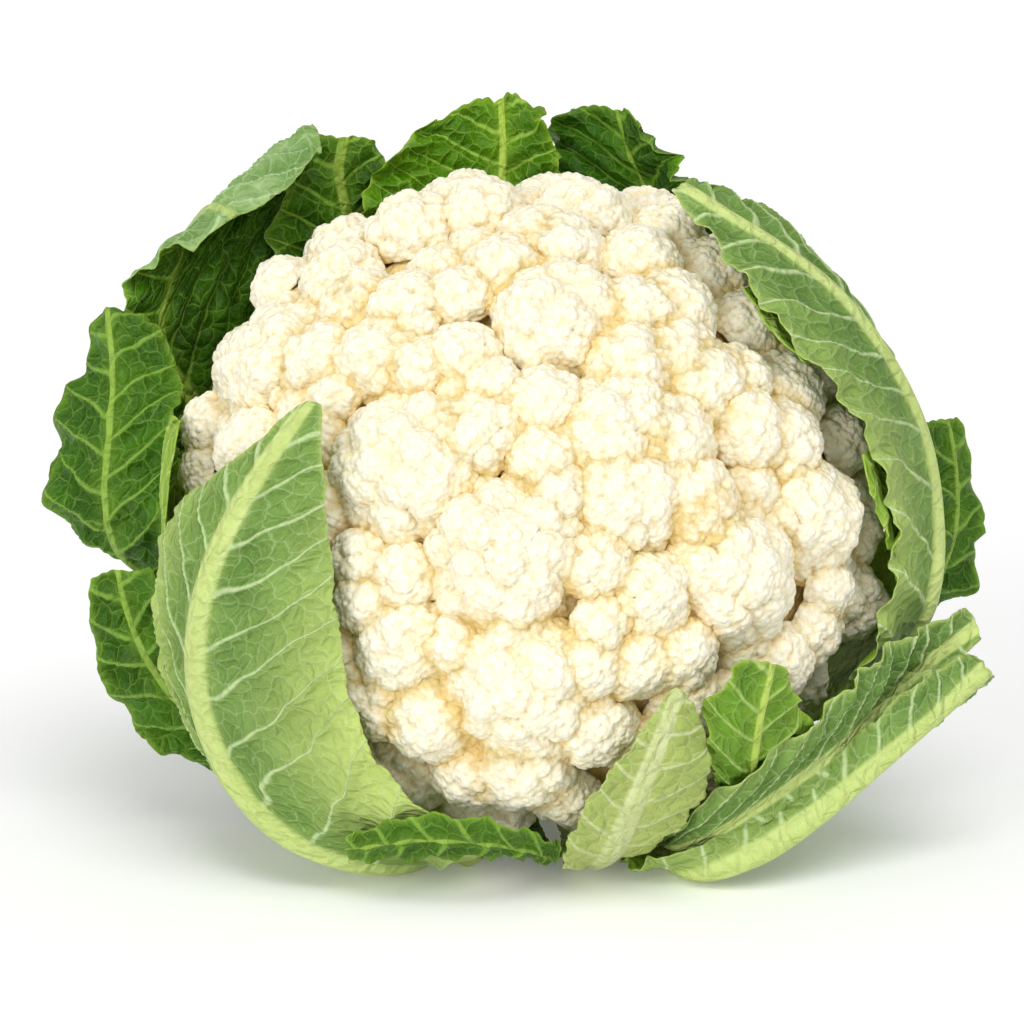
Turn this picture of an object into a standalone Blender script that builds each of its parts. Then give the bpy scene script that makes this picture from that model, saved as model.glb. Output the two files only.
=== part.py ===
"""A whole head of cauliflower: a curd of florets on its stalk, in a basket of leaves.

The head lies tipped back on its leaf ribs and the cut end of its stalk, with the curd facing -Y
and a little up. Lengths are in millimetres until a shape becomes a mesh, which is in metres.
"""
import math
from dataclasses import dataclass

import bmesh
import bpy
import numpy as np
from mathutils import Matrix, Vector

MM = 0.001

# Driving dimensions of the head, in millimetres and degrees.
CURD_RADIUS = 84.0
CURD_HEIGHT = 64.0
CURD_UNDERSIDE = 34.0
BASKET_RADIUS = 92.0
BASKET_HEIGHT = 72.0
BASKET_DEPTH = 96.0
BASKET_FLATNESS = 0.62
STALK_RADIUS = 25.0
STALK_TOP = -45.0
STALK_BUTT = -107.0
HEAD_TILT = math.radians(37.0)
HEAD_PLACE = (3.1, -11.0, 83.5)
GAP = 0.3
STALK_ROOM = 0.8
FLAT = 0.4

# The leaves spread from a heart at this height on the head's axis. A leaf lifted over what lies
# under it keeps its lift this far around, and then falls off no steeper than this.
HEART_HEIGHT = -10.0
FACET = 7.0
STEEPEST = 0.35

# The front view that the florets and the leaves' outlines are set out from, in millimetres from
# the curd's middle: its tilt, and how far off the eye is.
VIEW_TILT = math.radians(12.0)
VIEW_DISTANCE = 1000.0
SEARCH_BEHIND = 40.0
SEARCH_BEFORE = 130.0

# The blade of a leaf and the columns of its rib, and limits on the rib: its half width as a share
# of the blade beside it, and its height as a share of that half width.
BLADE = 0.8
RIB_COLUMNS = (-1.0, -0.55, 0.0, 0.55, 1.0)
WIDEST_RIB = 0.8
STEEPEST_RIB = 0.6
RIB_TAPER = 1.3
RUFFLE_SHIFT = 2.1
LEAF_GAP = 0.7

# The curd: its core, how deep florets sit in it, the knobs on them, and the foot under it.
CORE_INSET = 9.0
FLORET_SINK = 0.72
LEAST_FLORET = 10.5
LARGE_FLORET = 16.5
LARGE_KNOBS = 16
SMALL_KNOBS = 9
KNOB_PLACE = 0.62
KNOB_SIZE = 0.46
LEAST_REACH = 0.8
FILL_SEATS = 900
FILL_SPACING = 0.8
FILL_BULGE = 1.6
FOOT_TOP = -8.0
FOOT_RADIUS = 58.0
STALK_TAPER = 1.5
FLORET_ROOM = 1.08
FLORET_SAMPLES = 400

ACROSS = np.array([1.0, 0.0, 0.0])
UPWARD = np.array([0.0, math.sin(HEAD_TILT), math.cos(HEAD_TILT)])
AXIS = np.array([0.0, -math.cos(HEAD_TILT), math.sin(HEAD_TILT)])
CENTRE = np.array(HEAD_PLACE)
HEART = CENTRE + HEART_HEIGHT * AXIS


# Florets as seen from the front: right of the curd's middle, above it, and radius, in millimetres.
FLORETS = (
    (-33, 11, 21), (-13, 19, 11), (-7, -12, 21), (23, 19, 17), (25, 3, 15), (36, 18, 12),
    (3, 12, 9), (7, 3, 8), (17, -15, 9), (31, -24, 11), (18, -31, 8), (-4, -48, 21),
    (-3, -69, 14), (15, -41, 10), (-27, -56, 13), (17, -58, 11), (-34, -37, 13), (-33, -18, 8),
    (-44, -14, 8), (-43, -25, 9), (-40, -52, 11), (-21, -36, 7), (28, -41, 10), (39, -39, 10),
    (42, 3, 11), (-31, 72, 13), (-13, 76, 11), (-8, 61, 11), (1, 69, 11), (15, 76, 14),
    (9, 66, 11), (7, 50, 18), (-32, 51, 12), (-18, 54, 9), (-40, 38, 12), (-17, 39, 9),
    (-29, 35, 8), (-10, 31, 7), (4, 26, 10), (-50, 59, 12), (-43, 53, 9), (29, 63, 12),
    (36, 70, 11), (28, 50, 11), (37, 52, 12), (26, 37, 12), (38, 38, 11), (-67, 38, 19),
    (-54, 38, 12), (-83, 19, 10), (-73, 15, 11), (-50, 27, 7), (-84, 8, 9), (-64, 56, 9),
    (-47, 50, 9), (48, 60, 12), (45, 32, 12), (54, 33, 9), (67, 30, 11), (56, 20, 11),
    (66, 17, 12), (74, -2, 16), (54, -18, 19), (45, -2, 10), (76, -22, 8), (84, -26, 10),
    (73, -33, 9), (64, -42, 10), (70, -47, 8), (40, -52, 10), (52, -52, 10), (-66, 2, 13),
    (-62, -16, 12), (-52, -40, 12), (-57, -2, 11), (56, 48, 10), (-16, -70, 10), (9, -76, 9),
    (30, -64, 10), (80, 16, 9), (-56, 18, 9),
)
FILL_RADII = (14.0, 11.0)
FILL_LOWEST = -0.3


@dataclass(frozen=True)
class Leaf:
    """One leaf, drawn by curves that run from its base to its tip, from its left edge to its
    right one as seen from outside. The rib is (width at base, at tip, height at base, at tip)."""

    name: str
    curves: tuple
    rib_curve: int
    rib: tuple
    ruffle: float = 1.5
    waves: float = 3.0
    rows: int = 12
    columns: int = 3


def around(azimuth, station, lift):
    """A place on the basket: station 0 is at the stalk, 1 at the widest and 2 at the crown."""
    return on_basket(np.array([azimuth]), np.array([station]), np.array([lift]))[0][0]


def sight(x, y):
    """The eye, the direction from it through (x, y) of the front view, and the way to the eye."""
    toward = np.array([0.0, -math.cos(VIEW_TILT), math.sin(VIEW_TILT)])
    rise = np.array([0.0, math.sin(VIEW_TILT), math.cos(VIEW_TILT)])
    eye = CENTRE + toward * VIEW_DISTANCE
    through = CENTRE + x * ACROSS + y * rise
    return eye, unit(through - eye), toward


def deep(x, y, depth):
    """The place seen at (x, y) of the front view that is depth nearer than the curd's middle."""
    eye, way, toward = sight(x, y)
    return eye + way * (VIEW_DISTANCE - depth) / -(way @ toward)


def front(x, y, lift):
    """The place seen at (x, y) of the front view that stands lift off the near side of the
    basket, or the nearest to that where the sight line passes beside it."""
    eye, way, _ = sight(x, y)
    ways = np.linspace(VIEW_DISTANCE - SEARCH_BEFORE, VIEW_DISTANCE + SEARCH_BEHIND, 341)
    away = eye + ways[:, None] * way - CENTRE
    height = away @ AXIS
    radius = np.linalg.norm(away - height[:, None] * AXIS, axis=1)
    rim, level = basket_profile(np.linspace(0, 2, 161))
    gap = np.hypot(radius[:, None] - rim, height[:, None] - level).min(axis=1)
    turn = np.arctan2(height - HEART_HEIGHT, radius)
    reach = np.interp(turn, np.arctan2(level - HEART_HEIGHT, rim), np.hypot(rim, level - HEART_HEIGHT))
    off = np.where(np.hypot(radius, height - HEART_HEIGHT) < reach, -gap, gap) - lift
    crossing = np.nonzero(off < 0)[0]
    best = crossing[0] if len(crossing) else np.argmin(off)
    return eye + ways[best] * way


def leaves():
    """Every leaf, from the innermost to the outermost."""
    return (
        Leaf("young_leaf_right_upper", (
            (around(12, 0.5, -16), around(12, 0.8, -8), around(13, 1.15, -3), around(15, 1.4, -1),
             front(66, 34, 0)),
            (around(18, 0.5, -16), around(19, 0.8, -8), around(21, 1.15, -3), around(23, 1.4, -1),
             front(56, 45, 0)),
            (around(24, 0.5, -16), around(26, 0.8, -8), around(29, 1.15, -3), around(32, 1.4, -1),
             front(51, 54, 0))),
            1, (4, 1, 1.5, 0.5), ruffle=0.3, rows=7),
        Leaf("young_leaf_right_lower", (
            (around(341, 0.5, -16), around(341, 0.8, -8), around(343, 1.1, -3), around(351, 1.3, -1)),
            (around(348, 0.5, -16), around(349, 0.8, -8), around(352, 1.1, -3), around(357, 1.34, -1)),
            (around(355, 0.5, -16), around(357, 0.8, -8), around(360, 1.1, -3), around(363, 1.28, -1))),
            1, (4, 1, 1.5, 0.5), ruffle=0.3, rows=7),
        Leaf("young_leaf_left", (
            (around(172, 0.5, -16), around(169, 0.8, -8), around(167, 1.1, -3), front(-85, 20, 0)),
            (around(183, 0.5, -16), around(182, 0.8, -8), around(181, 1.1, -3), front(-88, 8, 0)),
            (around(194, 0.5, -16), around(197, 0.8, -8), around(197, 1.1, -3), front(-89, -9, 0))),
            1, (4, 1, 1.5, 0.5), ruffle=0.3, rows=7),
        Leaf("leaf_small_dark", (
            (around(289, 0.4, -14), around(292, 0.7, -9), front(47, -73, 0), front(43, -63, 1),
             front(40, -54, 1), front(39, -49, 1), front(45, -44, 1), front(52, -38, 1)),
            (around(296, 0.4, -14), around(298, 0.7, -9), front(54, -72, 0), front(54, -63, 1),
             front(55, -54, 1), front(57, -46, 1), front(59, -39, 1)),
            (around(303, 0.4, -14), around(304, 0.7, -9), front(65, -70, 0), front(71, -59, 1),
             front(71, -54, 1), front(65, -50, 1), front(61, -46, 1), front(62, -39, 1))),
            1, (5, 2, 1.5, 0.6), ruffle=0.6, rows=10),
        Leaf("leaf_top", (
            (around(84, 0, 1), around(75, 0.45, 1), around(74, 0.78, 2), deep(17, 74, -38),
             deep(9, 83, -38), deep(3, 88, -40), deep(2, 93, -43), deep(4, 99, -45)),
            (around(94, 0, 1), around(94, 0.45, 2), around(94, 0.78, 3), deep(-7, 78, -42),
             deep(-6, 88, -43), deep(-7, 101, -46)),
            (around(104, 0, 1), around(114, 0.45, 2), around(117, 0.78, 3), deep(-43, 69, -31),
             deep(-42, 79, -33), deep(-33, 86, -37), deep(-24, 93, -41))),
            1, (14, 4, 5, 1), ruffle=1.5, waves=3.5),
        Leaf("leaf_top_right", (
            (around(48, 0, 1), around(42, 0.45, 1), around(41, 0.8, 1), deep(46, 62, -16),
             deep(40, 71, -24), deep(35, 79, -30), deep(31, 86, -36), deep(29, 91, -40)),
            (around(58, 0, 1), around(57, 0.45, 3), around(58, 0.8, 5), deep(29, 73, -44),
             deep(25, 84, -48), deep(21, 98, -50)),
            (around(68, 0, 1), around(71, 0.45, 5), around(75, 0.78, 9), deep(4, 75, -58),
             deep(0, 83, -60), deep(1, 90, -60), deep(9, 97, -57))),
            1, (14, 3, 5, 0.6), ruffle=1.0, waves=2.5),
        Leaf("leaf_top_left_inner", (
            (around(113, 0, 1), around(106, 0.45, 2), around(105, 0.78, 3), deep(-33, 73, -38),
             deep(-38, 78, -38), deep(-40, 82, -38), deep(-38, 86, -38)),
            (around(121, 0, 1), around(121, 0.45, 2), around(121, 0.78, 3), deep(-41, 69, -34),
             deep(-46, 76, -35), deep(-45, 83, -36), deep(-44, 88, -38)),
            (around(129, 0, 1), around(135, 0.45, 2), around(137, 0.78, 3), deep(-59, 63, -28),
             deep(-59, 72, -31), deep(-53, 82, -34), deep(-49, 89, -37))),
            1, (14, 6, 5, 1.5), ruffle=0.8, waves=3.0),
        Leaf("leaf_top_left_outer", (
            (around(140, 0, 1), around(132, 0.45, 4), around(129, 0.8, 6), deep(-54, 62, -32),
             deep(-52, 74, -36), deep(-52, 84, -37), deep(-49, 89, -31), deep(-46, 85, -23),
             deep(-48, 79, -19)),
            (around(145, 0, 1), around(144, 0.45, 4), around(144, 0.8, 7), deep(-77, 52, -24),
             deep(-71, 64, -29), deep(-66, 74, -31), deep(-62, 79, -25), deep(-59, 75, -17),
             deep(-57, 70, -13)),
            (around(151, 0, 1), around(154, 0.45, 4), around(156, 0.78, 8), deep(-92, 47, -20),
             deep(-85, 57, -24), deep(-79, 65, -27), deep(-75, 72, -20), deep(-72, 70, -13),
             deep(-69, 67, -9)),
            (around(160, 0, 1), around(168, 0.45, 4), around(170, 0.78, 8), deep(-101, 37, -16),
             deep(-101, 49, -16), deep(-99, 57, -17), deep(-94, 61, -13), deep(-88, 62, -7),
             deep(-83, 62, -5))),
            2, (14, 5, 5, 1), ruffle=0.6, waves=3.0, rows=15, columns=4),
        Leaf("leaf_front_left", (
            (around(238, 0, 1), around(240, 0.3, 2), around(236, 0.6, 3), around(227, 0.78, 4),
             around(216, 0.9, 4), front(-88, -48, 4), front(-91, -34, 4), front(-92, -18, 4),
             front(-91, -4, 4), front(-83, 3, 4), front(-72, 10, 4), front(-63, 20, 4),
             front(-57, 24, 4)),
            (around(247, 0, 1), around(250, 0.3, 2), around(250, 0.6, 2), front(-46, -87, 3),
             front(-61, -82, 4), front(-71, -72, 5), front(-78, -59, 5), front(-82, -44, 5),
             front(-81, -25, 5), front(-74, -5, 5), front(-67, 6, 4), front(-60, 16, 4),
             front(-54, 25, 4)),
            (around(256, 0, 1), around(260, 0.35, 2), around(262, 0.75, 2), front(-24, -76, 2),
             front(-32, -72, 2), front(-39, -63, 2), front(-45, -48, 2), front(-46, -34, 2),
             front(-48, -19, 2), front(-51, 1, 2), front(-50, 14, 3), front(-51, 24, 4))),
            1, (17, 3, 6, 0.8), ruffle=0.8, waves=5.0, rows=18, columns=4),
        Leaf("leaf_left_lower", (
            (around(200, 0, 1), around(206, 0.35, 4), around(215, 0.62, 7), deep(-79, -67, -20),
             deep(-92, -60, -18), deep(-99, -51, -11), deep(-106, -38, -6), deep(-109, -25, -2),
             deep(-107, -18, 0)),
            (around(210, 0, 1), around(215, 0.35, 3), around(219, 0.62, 4), deep(-80, -55, -12),
             deep(-89, -46, -6), deep(-96, -35, -2), deep(-100, -24, 1), deep(-101, -16, 2)),
            (around(220, 0, 1), around(223, 0.35, 2), around(226, 0.62, 2), deep(-70, -49, -6),
             deep(-78, -40, 0), deep(-86, -31, 3), deep(-91, -23, 4), deep(-96, -16, 4))),
            1, (12, 4, 4, 0.8), ruffle=0.8, waves=4.0),
        Leaf("leaf_left_upper", (
            (around(172, 0, 1), around(170, 0.4, 4), around(172, 0.7, 9), deep(-111, -14, -22),
             deep(-118, 1, -18), deep(-120, 15, -18), deep(-114, 23, -18), deep(-106, 33, -18),
             deep(-103, 44, -18)),
            (around(181, 0, 1), around(182, 0.4, 5), around(184, 0.72, 9), deep(-104, -12, -12),
             deep(-104, 6, -5), deep(-102, 22, -4), deep(-101, 34, -8), deep(-101, 47, -14)),
            (around(191, 0, 1), around(195, 0.4, 4), around(197, 0.74, 7), deep(-93, -12, -6),
             deep(-90, 5, 3), deep(-87, 19, 2), deep(-86, 30, -4), deep(-89, 38, -9),
             deep(-95, 46, -13))),
            1, (13, 3, 5, 1), ruffle=0.8, waves=3.5),
        Leaf("leaf_right_wrap", (
            (around(319, 0, 1), around(318, 0.4, 1), around(326, 0.85, 2), front(83, -37, 2),
             front(88, -25, 2), front(90, -14, 2), front(89, 1, 2), front(84, 14, 2),
             front(76, 23, 3), front(73, 32, 3), front(64, 39, 3), front(56, 47, 3),
             front(51, 55, 3), front(46, 64, 3), front(39, 71, 3), front(34, 76, 3)),
            (around(326, 0, 1), around(328, 0.4, 2), around(341, 0.85, 4), front(97, -31, 5),
             front(99, -14, 5), front(99, 1, 5), front(96, 18, 5), front(90, 30, 5),
             front(81, 45, 5), front(72, 55, 5), front(62, 62, 5), front(49, 69, 4),
             front(42, 74, 4), front(36, 78, 4)),
            (around(334, 0, 1), around(340, 0.4, 2), around(355, 0.8, 3), around(7, 0.88, 3),
             around(18, 0.93, 3), around(28, 0.98, 3), around(38, 1.05, 2), around(46, 1.15, 2),
             around(52, 1.3, 3), front(38, 79, 4))),
            1, (12, 3, 4.5, 0.8), ruffle=0.8, waves=6.0, rows=18),
        Leaf("leaf_right", (
            (around(340, 0, 1), around(337, 0.4, 4), around(335, 0.75, 7), deep(86, -40, 2),
             deep(94, -28, 2), deep(98, -12, -4), deep(98, 5, -8), deep(97, 20, -12)),
            (around(351, 0, 1), around(353, 0.4, 4), around(354, 0.72, 8), deep(100, -21, -14),
             deep(105, -4, -13), deep(104, 11, -14), deep(102, 21, -16)),
            (around(360, 0, 1), around(367, 0.4, 4), around(368, 0.7, 8), deep(107, -31, -26),
             deep(112, -15, -23), deep(108, -3, -20), deep(111, 8, -20), deep(110, 16, -20),
             deep(105, 22, -20))),
            1, (13, 3, 5, 1), ruffle=1.0, waves=3.5),
        Leaf("leaf_lower_right_inner", (
            (around(284, 0, 1), around(286, 0.35, 0), around(289, 0.75, 0), front(33, -83, 1),
             front(45, -71, 1), front(56, -62, 2), front(70, -56, 2), front(77, -49, 3),
             front(80, -39, 5), front(90, -36, 8), front(100, -30, 11), front(108, -27, 13)),
            (around(289, 0, 1), around(291, 0.35, 0), around(293, 0.75, 0), front(38, -86, 1),
             front(50, -75, 1), front(61, -67, 2), front(72, -61, 3), front(81, -53, 4),
             front(89, -46, 6), front(96, -39, 8), front(103, -34, 11), front(110, -30, 13)),
            (around(295, 0, 1), around(296, 0.35, 0), around(298, 0.75, 1), front(43, -88, 1),
             front(55, -79, 2), front(68, -69, 4), front(76, -64, 5), front(83, -58, 6),
             front(89, -51, 7), front(96, -45, 9), front(103, -39, 12), front(111, -33, 13))),
            1, (8, 4, 1, 0.3), ruffle=0.3, waves=5.0, rows=14),
        Leaf("leaf_lower_right_outer", (
            (around(299, 0, 1), around(300, 0.35, 1), front(40, -89, 3), front(50, -85, 3),
             front(58, -80, 4), front(66, -74, 5), front(75, -67, 7), front(82, -59, 8),
             front(87, -50, 9), front(92, -42, 10), front(100, -35, 11)),
            (around(307, 0, 1), around(306, 0.35, 1), front(49, -91, 3), front(60, -86, 4),
             front(71, -78, 5), front(79, -70, 6), front(87, -60, 7), front(93, -51, 8),
             front(98, -44, 9), front(103, -37, 11)),
            (around(315, 0, 1), around(314, 0.35, 2), around(318, 0.6, 3), around(325, 0.75, 6),
             around(331, 0.84, 9), deep(98, -44, 4), deep(105, -39, 9))),
            1, (15, 5, 4, 0.3), ruffle=0.3, waves=4.0, rows=13),
        Leaf("leaf_bottom_rolled", (
            (around(259, 0, 1), around(262, 0.3, 0), around(265, 0.65, 0), front(0, -87, 1),
             front(-12, -86, 3), front(-24, -86, 4), front(-36, -86, 5), front(-43, -85, 6)),
            (around(263, 0, 1), around(266, 0.3, 0), around(269, 0.65, 0), front(4, -86, 1),
             front(-7, -83, 2), front(-22, -81, 4), front(-34, -81, 5), front(-44, -82, 6)),
            (around(267, 0, 1), around(270, 0.3, 0), around(273, 0.65, 0), front(7, -83, 1),
             front(-2, -79, 2), front(-15, -76, 2), front(-27, -74, 3), front(-38, -76, 4),
             front(-44, -79, 5))),
            1, (5, 2, 1.5, 0.8), ruffle=0.4, rows=12),
        Leaf("leaf_small_pale", (
            (around(270, 0, 1), around(274, 0.35, 1), around(276, 0.7, 1), front(7, -86, 1),
             front(10, -76, 2), front(15, -69, 2), front(23, -62, 2), front(29, -56, 2),
             front(34, -46, 2)),
            (around(275, 0, 1), around(278, 0.35, 1), around(281, 0.7, 1), front(19, -87, 1),
             front(24, -76, 2), front(29, -65, 2), front(33, -54, 2), front(36, -45, 2)),
            (around(279, 0, 1), around(282, 0.35, 1), around(286, 0.7, 1), front(29, -86, 1),
             front(39, -79, 2), front(47, -69, 2), front(46, -64, 2), front(42, -58, 2),
             front(40, -49, 2))),
            1, (14, 3, 5, 0.3), ruffle=0.1, rows=11),
    )


def hermite(places, values, s):
    """A smooth curve through values at places, read at s."""
    return blend(places, values, np.gradient(values, places, axis=0), s)


def blend(places, values, slopes, s):
    """The cubic curve with the given values and slopes at places, read at s."""
    k = np.clip(np.searchsorted(places, s) - 1, 0, len(places) - 2)
    span = (places[k + 1] - places[k])[:, None]
    f = (s - places[k])[:, None] / span
    a, b = values[k], values[k + 1]
    ma, mb = slopes[k] * span, slopes[k + 1] * span
    return (2 * f**3 - 3 * f**2 + 1) * a + (f**3 - 2 * f**2 + f) * ma \
        + (3 * f**2 - 2 * f**3) * b + (f**3 - f**2) * mb


def steady(places, values, s):
    """A smooth curve through values at places that never swings past them, read at s."""
    secants = np.diff(values, axis=0) / np.diff(places)[:, None]
    slopes = np.concatenate([secants[:1], secants[:-1], secants[-1:]])
    before, after = secants[:-1], secants[1:]
    both = before * after > 0
    slopes[1:-1] = np.where(both, 2 * before * after / np.where(both, before + after, 1), 0)
    return blend(places, values, slopes, s)


def run_of(points):
    """The distance walked along a row of points, at each of them."""
    return np.concatenate([[0], np.cumsum(np.linalg.norm(np.diff(points, axis=0), axis=1))])


def basket_profile(station):
    """Radius and height of the basket that the leaves follow, at stations from 0 to 2."""
    low = np.clip(station, 0.0, 1.0)
    bend = math.pi / 2 * low
    crown = math.pi / 2 * np.clip(station - 1, 0.0, 1.0)
    k = BASKET_FLATNESS
    opening = k * low + (1 - k) * np.sin(bend)
    radius = STALK_RADIUS + (BASKET_RADIUS - STALK_RADIUS) * opening
    height = -BASKET_DEPTH * (k * (1 - low) + (1 - k) * np.cos(bend))
    above = station > 1
    radius = np.where(above, BASKET_RADIUS * np.cos(crown), radius)
    height = np.where(above, BASKET_HEIGHT * np.sin(crown), height)
    return radius, height


def on_basket(azimuth, station, lift):
    """Places that stand off the basket, and the outward normals there."""
    step = 1e-3
    radius, height = basket_profile(station)
    radius_up, height_up = basket_profile(station + step)
    radius_down, height_down = basket_profile(station - step)
    run, rise = radius_up - radius_down, height_up - height_down
    size = np.hypot(run, rise)
    out, back = rise / size, -run / size
    turn = np.radians(azimuth)
    radial = np.cos(turn)[:, None] * ACROSS + np.sin(turn)[:, None] * UPWARD
    place = (radius + lift * out)[:, None] * radial + (height + lift * back)[:, None] * AXIS
    return CENTRE + place, out[:, None] * radial + back[:, None] * AXIS


def unit(vectors):
    """Vectors scaled to a length of one."""
    return vectors / np.linalg.norm(vectors, axis=-1, keepdims=True)


def evenly(curve, s):
    """Points at the fractions s of the length of a smooth curve through the given ones."""
    curve = np.asarray(curve)
    dense = np.linspace(0, 1, 300)
    run = run_of(curve)
    fine = hermite(run / run[-1], curve, dense)
    travel = run_of(fine)
    return hermite(run / run[-1], curve, np.interp(s, travel / travel[-1], dense))


def rib_size(leaf, s):
    """Width and height of the rib along the leaf."""
    width_base, width_tip, height_base, height_tip = leaf.rib
    fall = 1 - (1 - s) ** RIB_TAPER
    width = width_base + (width_tip - width_base) * fall
    return width, height_base + (height_tip - height_base) * fall


def leaf_sheet(leaf):
    """The inner face of a leaf as rows of points, and its thickness there."""
    s = np.linspace(0, 1, leaf.rows)
    curves = np.stack([evenly(curve, s) for curve in leaf.curves], axis=1)
    away = curves - HEART
    reach = np.linalg.norm(away, axis=-1, keepdims=True)
    turned = np.concatenate([away / reach, reach], axis=-1)
    rib_width, rib_height = rib_size(leaf, s)
    rows, widths, shares, humps = [], [], [], []
    rib = np.sqrt(1 - np.square(RIB_COLUMNS))
    hump = np.concatenate([np.zeros(leaf.columns), rib, np.zeros(leaf.columns)])
    for row, line in enumerate(turned):
        run = run_of(curves[row])
        run = run - run[leaf.rib_curve]
        half = min(rib_width[row] / 2, -WIDEST_RIB * run[0], WIDEST_RIB * run[-1])
        steps = np.linspace(0, 1, leaf.columns + 1)[1:]
        across = np.concatenate([(-half + (run[0] + half) * steps)[::-1],
                                 half * np.array(RIB_COLUMNS),
                                 half + (run[-1] - half) * steps])
        mixed = steady(run, line, across)
        rows.append(HEART + unit(mixed[:, :3]) * mixed[:, 3:])
        widths.append(across)
        humps.append(min(rib_height[row], STEEPEST_RIB * half) * hump)
        shares.append(np.where(across < 0, across / run[0], across / run[-1]))
    points, across, share = np.array(rows), np.array(widths), np.array(shares)
    wave = np.sin(2 * math.pi * leaf.waves * s[:, None] + np.where(across < 0, 0.0, RUFFLE_SHIFT))
    points = points + sheet_normals(points) * (leaf.ruffle * wave * share**2)[..., None]
    return points, BLADE + np.array(humps)


class Cover:
    """How far out from the head's heart the pieces laid so far reach, in each direction."""

    STEP = math.radians(1.5)

    def __init__(self):
        self.rows = int(math.pi / self.STEP)
        self.columns = 2 * self.rows
        self.reach = np.zeros((self.rows, self.columns))

    def cells(self, points):
        """The row and column of each point's cell, its distance and its direction."""
        away = points - HEART
        radius = np.linalg.norm(away, axis=-1)
        polar = np.arccos(np.clip(away @ AXIS / radius, -1, 1))
        turn = np.arctan2(away @ UPWARD, away @ ACROSS) % (2 * math.pi)
        row = np.minimum((polar / self.STEP).astype(int), self.rows - 1)
        column = np.minimum((turn / self.STEP).astype(int), self.columns - 1)
        return row, column, radius, away / radius[..., None]

    def lay(self, points):
        """Adds points to what is covered."""
        row, column, radius, _ = self.cells(points.reshape(-1, 3))
        np.maximum.at(self.reach, (row, column), radius)

    def spread(self):
        """The reach, widened by one cell."""
        up, down = np.roll(self.reach, 1, axis=0), np.roll(self.reach, -1, axis=0)
        up[0], down[-1] = 0, 0
        left, right = np.roll(self.reach, -1, axis=1), np.roll(self.reach, 1, axis=1)
        return np.maximum.reduce([self.reach, up, down, left, right])

    def lift(self, points, clearance):
        """Moves a sheet out until it is clear of what is covered."""
        dense = refined(points)
        row, column, radius, _ = self.cells(dense)
        need = self.spread()[row, column] + clearance - radius
        return points + eased(points, dense, need)[..., None] * self.cells(points)[3]


def eased(points, dense, need):
    """How far to move each point of a sheet so that the dense ones move by what they need, with
    no steep step from one point to the next."""
    apart = np.linalg.norm(points[:, :, None] - dense.reshape(1, 1, -1, 3), axis=-1)
    fall = STEEPEST * np.maximum(apart - FACET, 0)
    return np.maximum((need.reshape(1, 1, -1) - fall).max(axis=-1), 0)


def refined(grid, times=3):
    """A grid of points with rows and columns put between by straight interpolation."""
    for axis in (0, 1):
        count = grid.shape[axis]
        at = np.linspace(0, count - 1, (count - 1) * times + 1)
        low = np.minimum(at.astype(int), count - 2)
        f = (at - low).reshape((-1, 1, 1) if axis == 0 else (1, -1, 1))
        grid = np.take(grid, low, axis) * (1 - f) + np.take(grid, low + 1, axis) * f
    return grid


def sheet_normals(points):
    """Normals of a sheet, pointing away from the head."""
    along_rows = np.gradient(points, axis=0)
    along_columns = np.gradient(points, axis=1)
    return unit(np.cross(along_columns, along_rows))


def off_stalk(points):
    """Moves a sheet out of the stalk's way."""
    dense = refined(points)
    room = np.where((dense - CENTRE) @ AXIS < STALK_TOP, STALK_RADIUS + STALK_ROOM, 0.0)
    need = room - off_axis(dense)[1]
    return points + eased(points, dense, need)[..., None] * off_axis(points)[0]


def off_axis(points):
    """The direction out from the head's axis to each point, and the distance."""
    away = points - CENTRE
    spread = away - (away @ AXIS)[..., None] * AXIS
    return unit(spread), np.linalg.norm(spread, axis=-1)


def off_floor(points, thickness):
    """Raises a sheet so that its outer face reaches no lower than the floor."""
    outer = points + sheet_normals(points) * thickness[..., None]
    lift = eased(points, points, -FLAT - outer[..., 2])
    return points + lift[..., None] * np.array([0.0, 0.0, 1.0])


def relaxed(points):
    """A sheet with its creases eased: every point drawn towards the middle of its neighbours."""
    for axis in (0, 1):
        turned = np.moveaxis(points, axis, 0)
        middle = (turned[:-2] + turned[2:]) / 2
        turned = np.concatenate([turned[:1], (turned[1:-1] + middle) / 2, turned[-1:]])
        points = np.moveaxis(turned, 0, axis)
    return points


def lay_leaves(cover):
    """The sheet of every leaf, each lifted clear of the florets and of the leaves under it."""
    sheets = {}
    for leaf in leaves():
        points, thickness = leaf_sheet(leaf)
        points = relaxed(cover.lift(points, LEAF_GAP))
        points = off_floor(off_stalk(cover.lift(points, LEAF_GAP)), thickness)
        cover.lay(refined(points + sheet_normals(points) * thickness[..., None]))
        sheets[leaf.name] = (points, thickness)
    return sheets


def ray_to_curd(x, y):
    """Where the sight line through (x, y) of the front view meets the curd, and the normal
    there, both in the head's own axes."""
    eye, way, _ = sight(x, y)
    size = np.array([CURD_RADIUS, CURD_RADIUS, CURD_HEIGHT])
    basis = np.stack([ACROSS, UPWARD, AXIS])
    start, way = (basis @ (eye - CENTRE)) / size, (basis @ way) / size
    a, b, c = way @ way, 2 * start @ way, start @ start - 1
    root = max(b * b - 4 * a * c, 0.0)
    local = (start + way * (-b - math.sqrt(root)) / (2 * a)) * size
    return local, unit(local / size**2)


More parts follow.
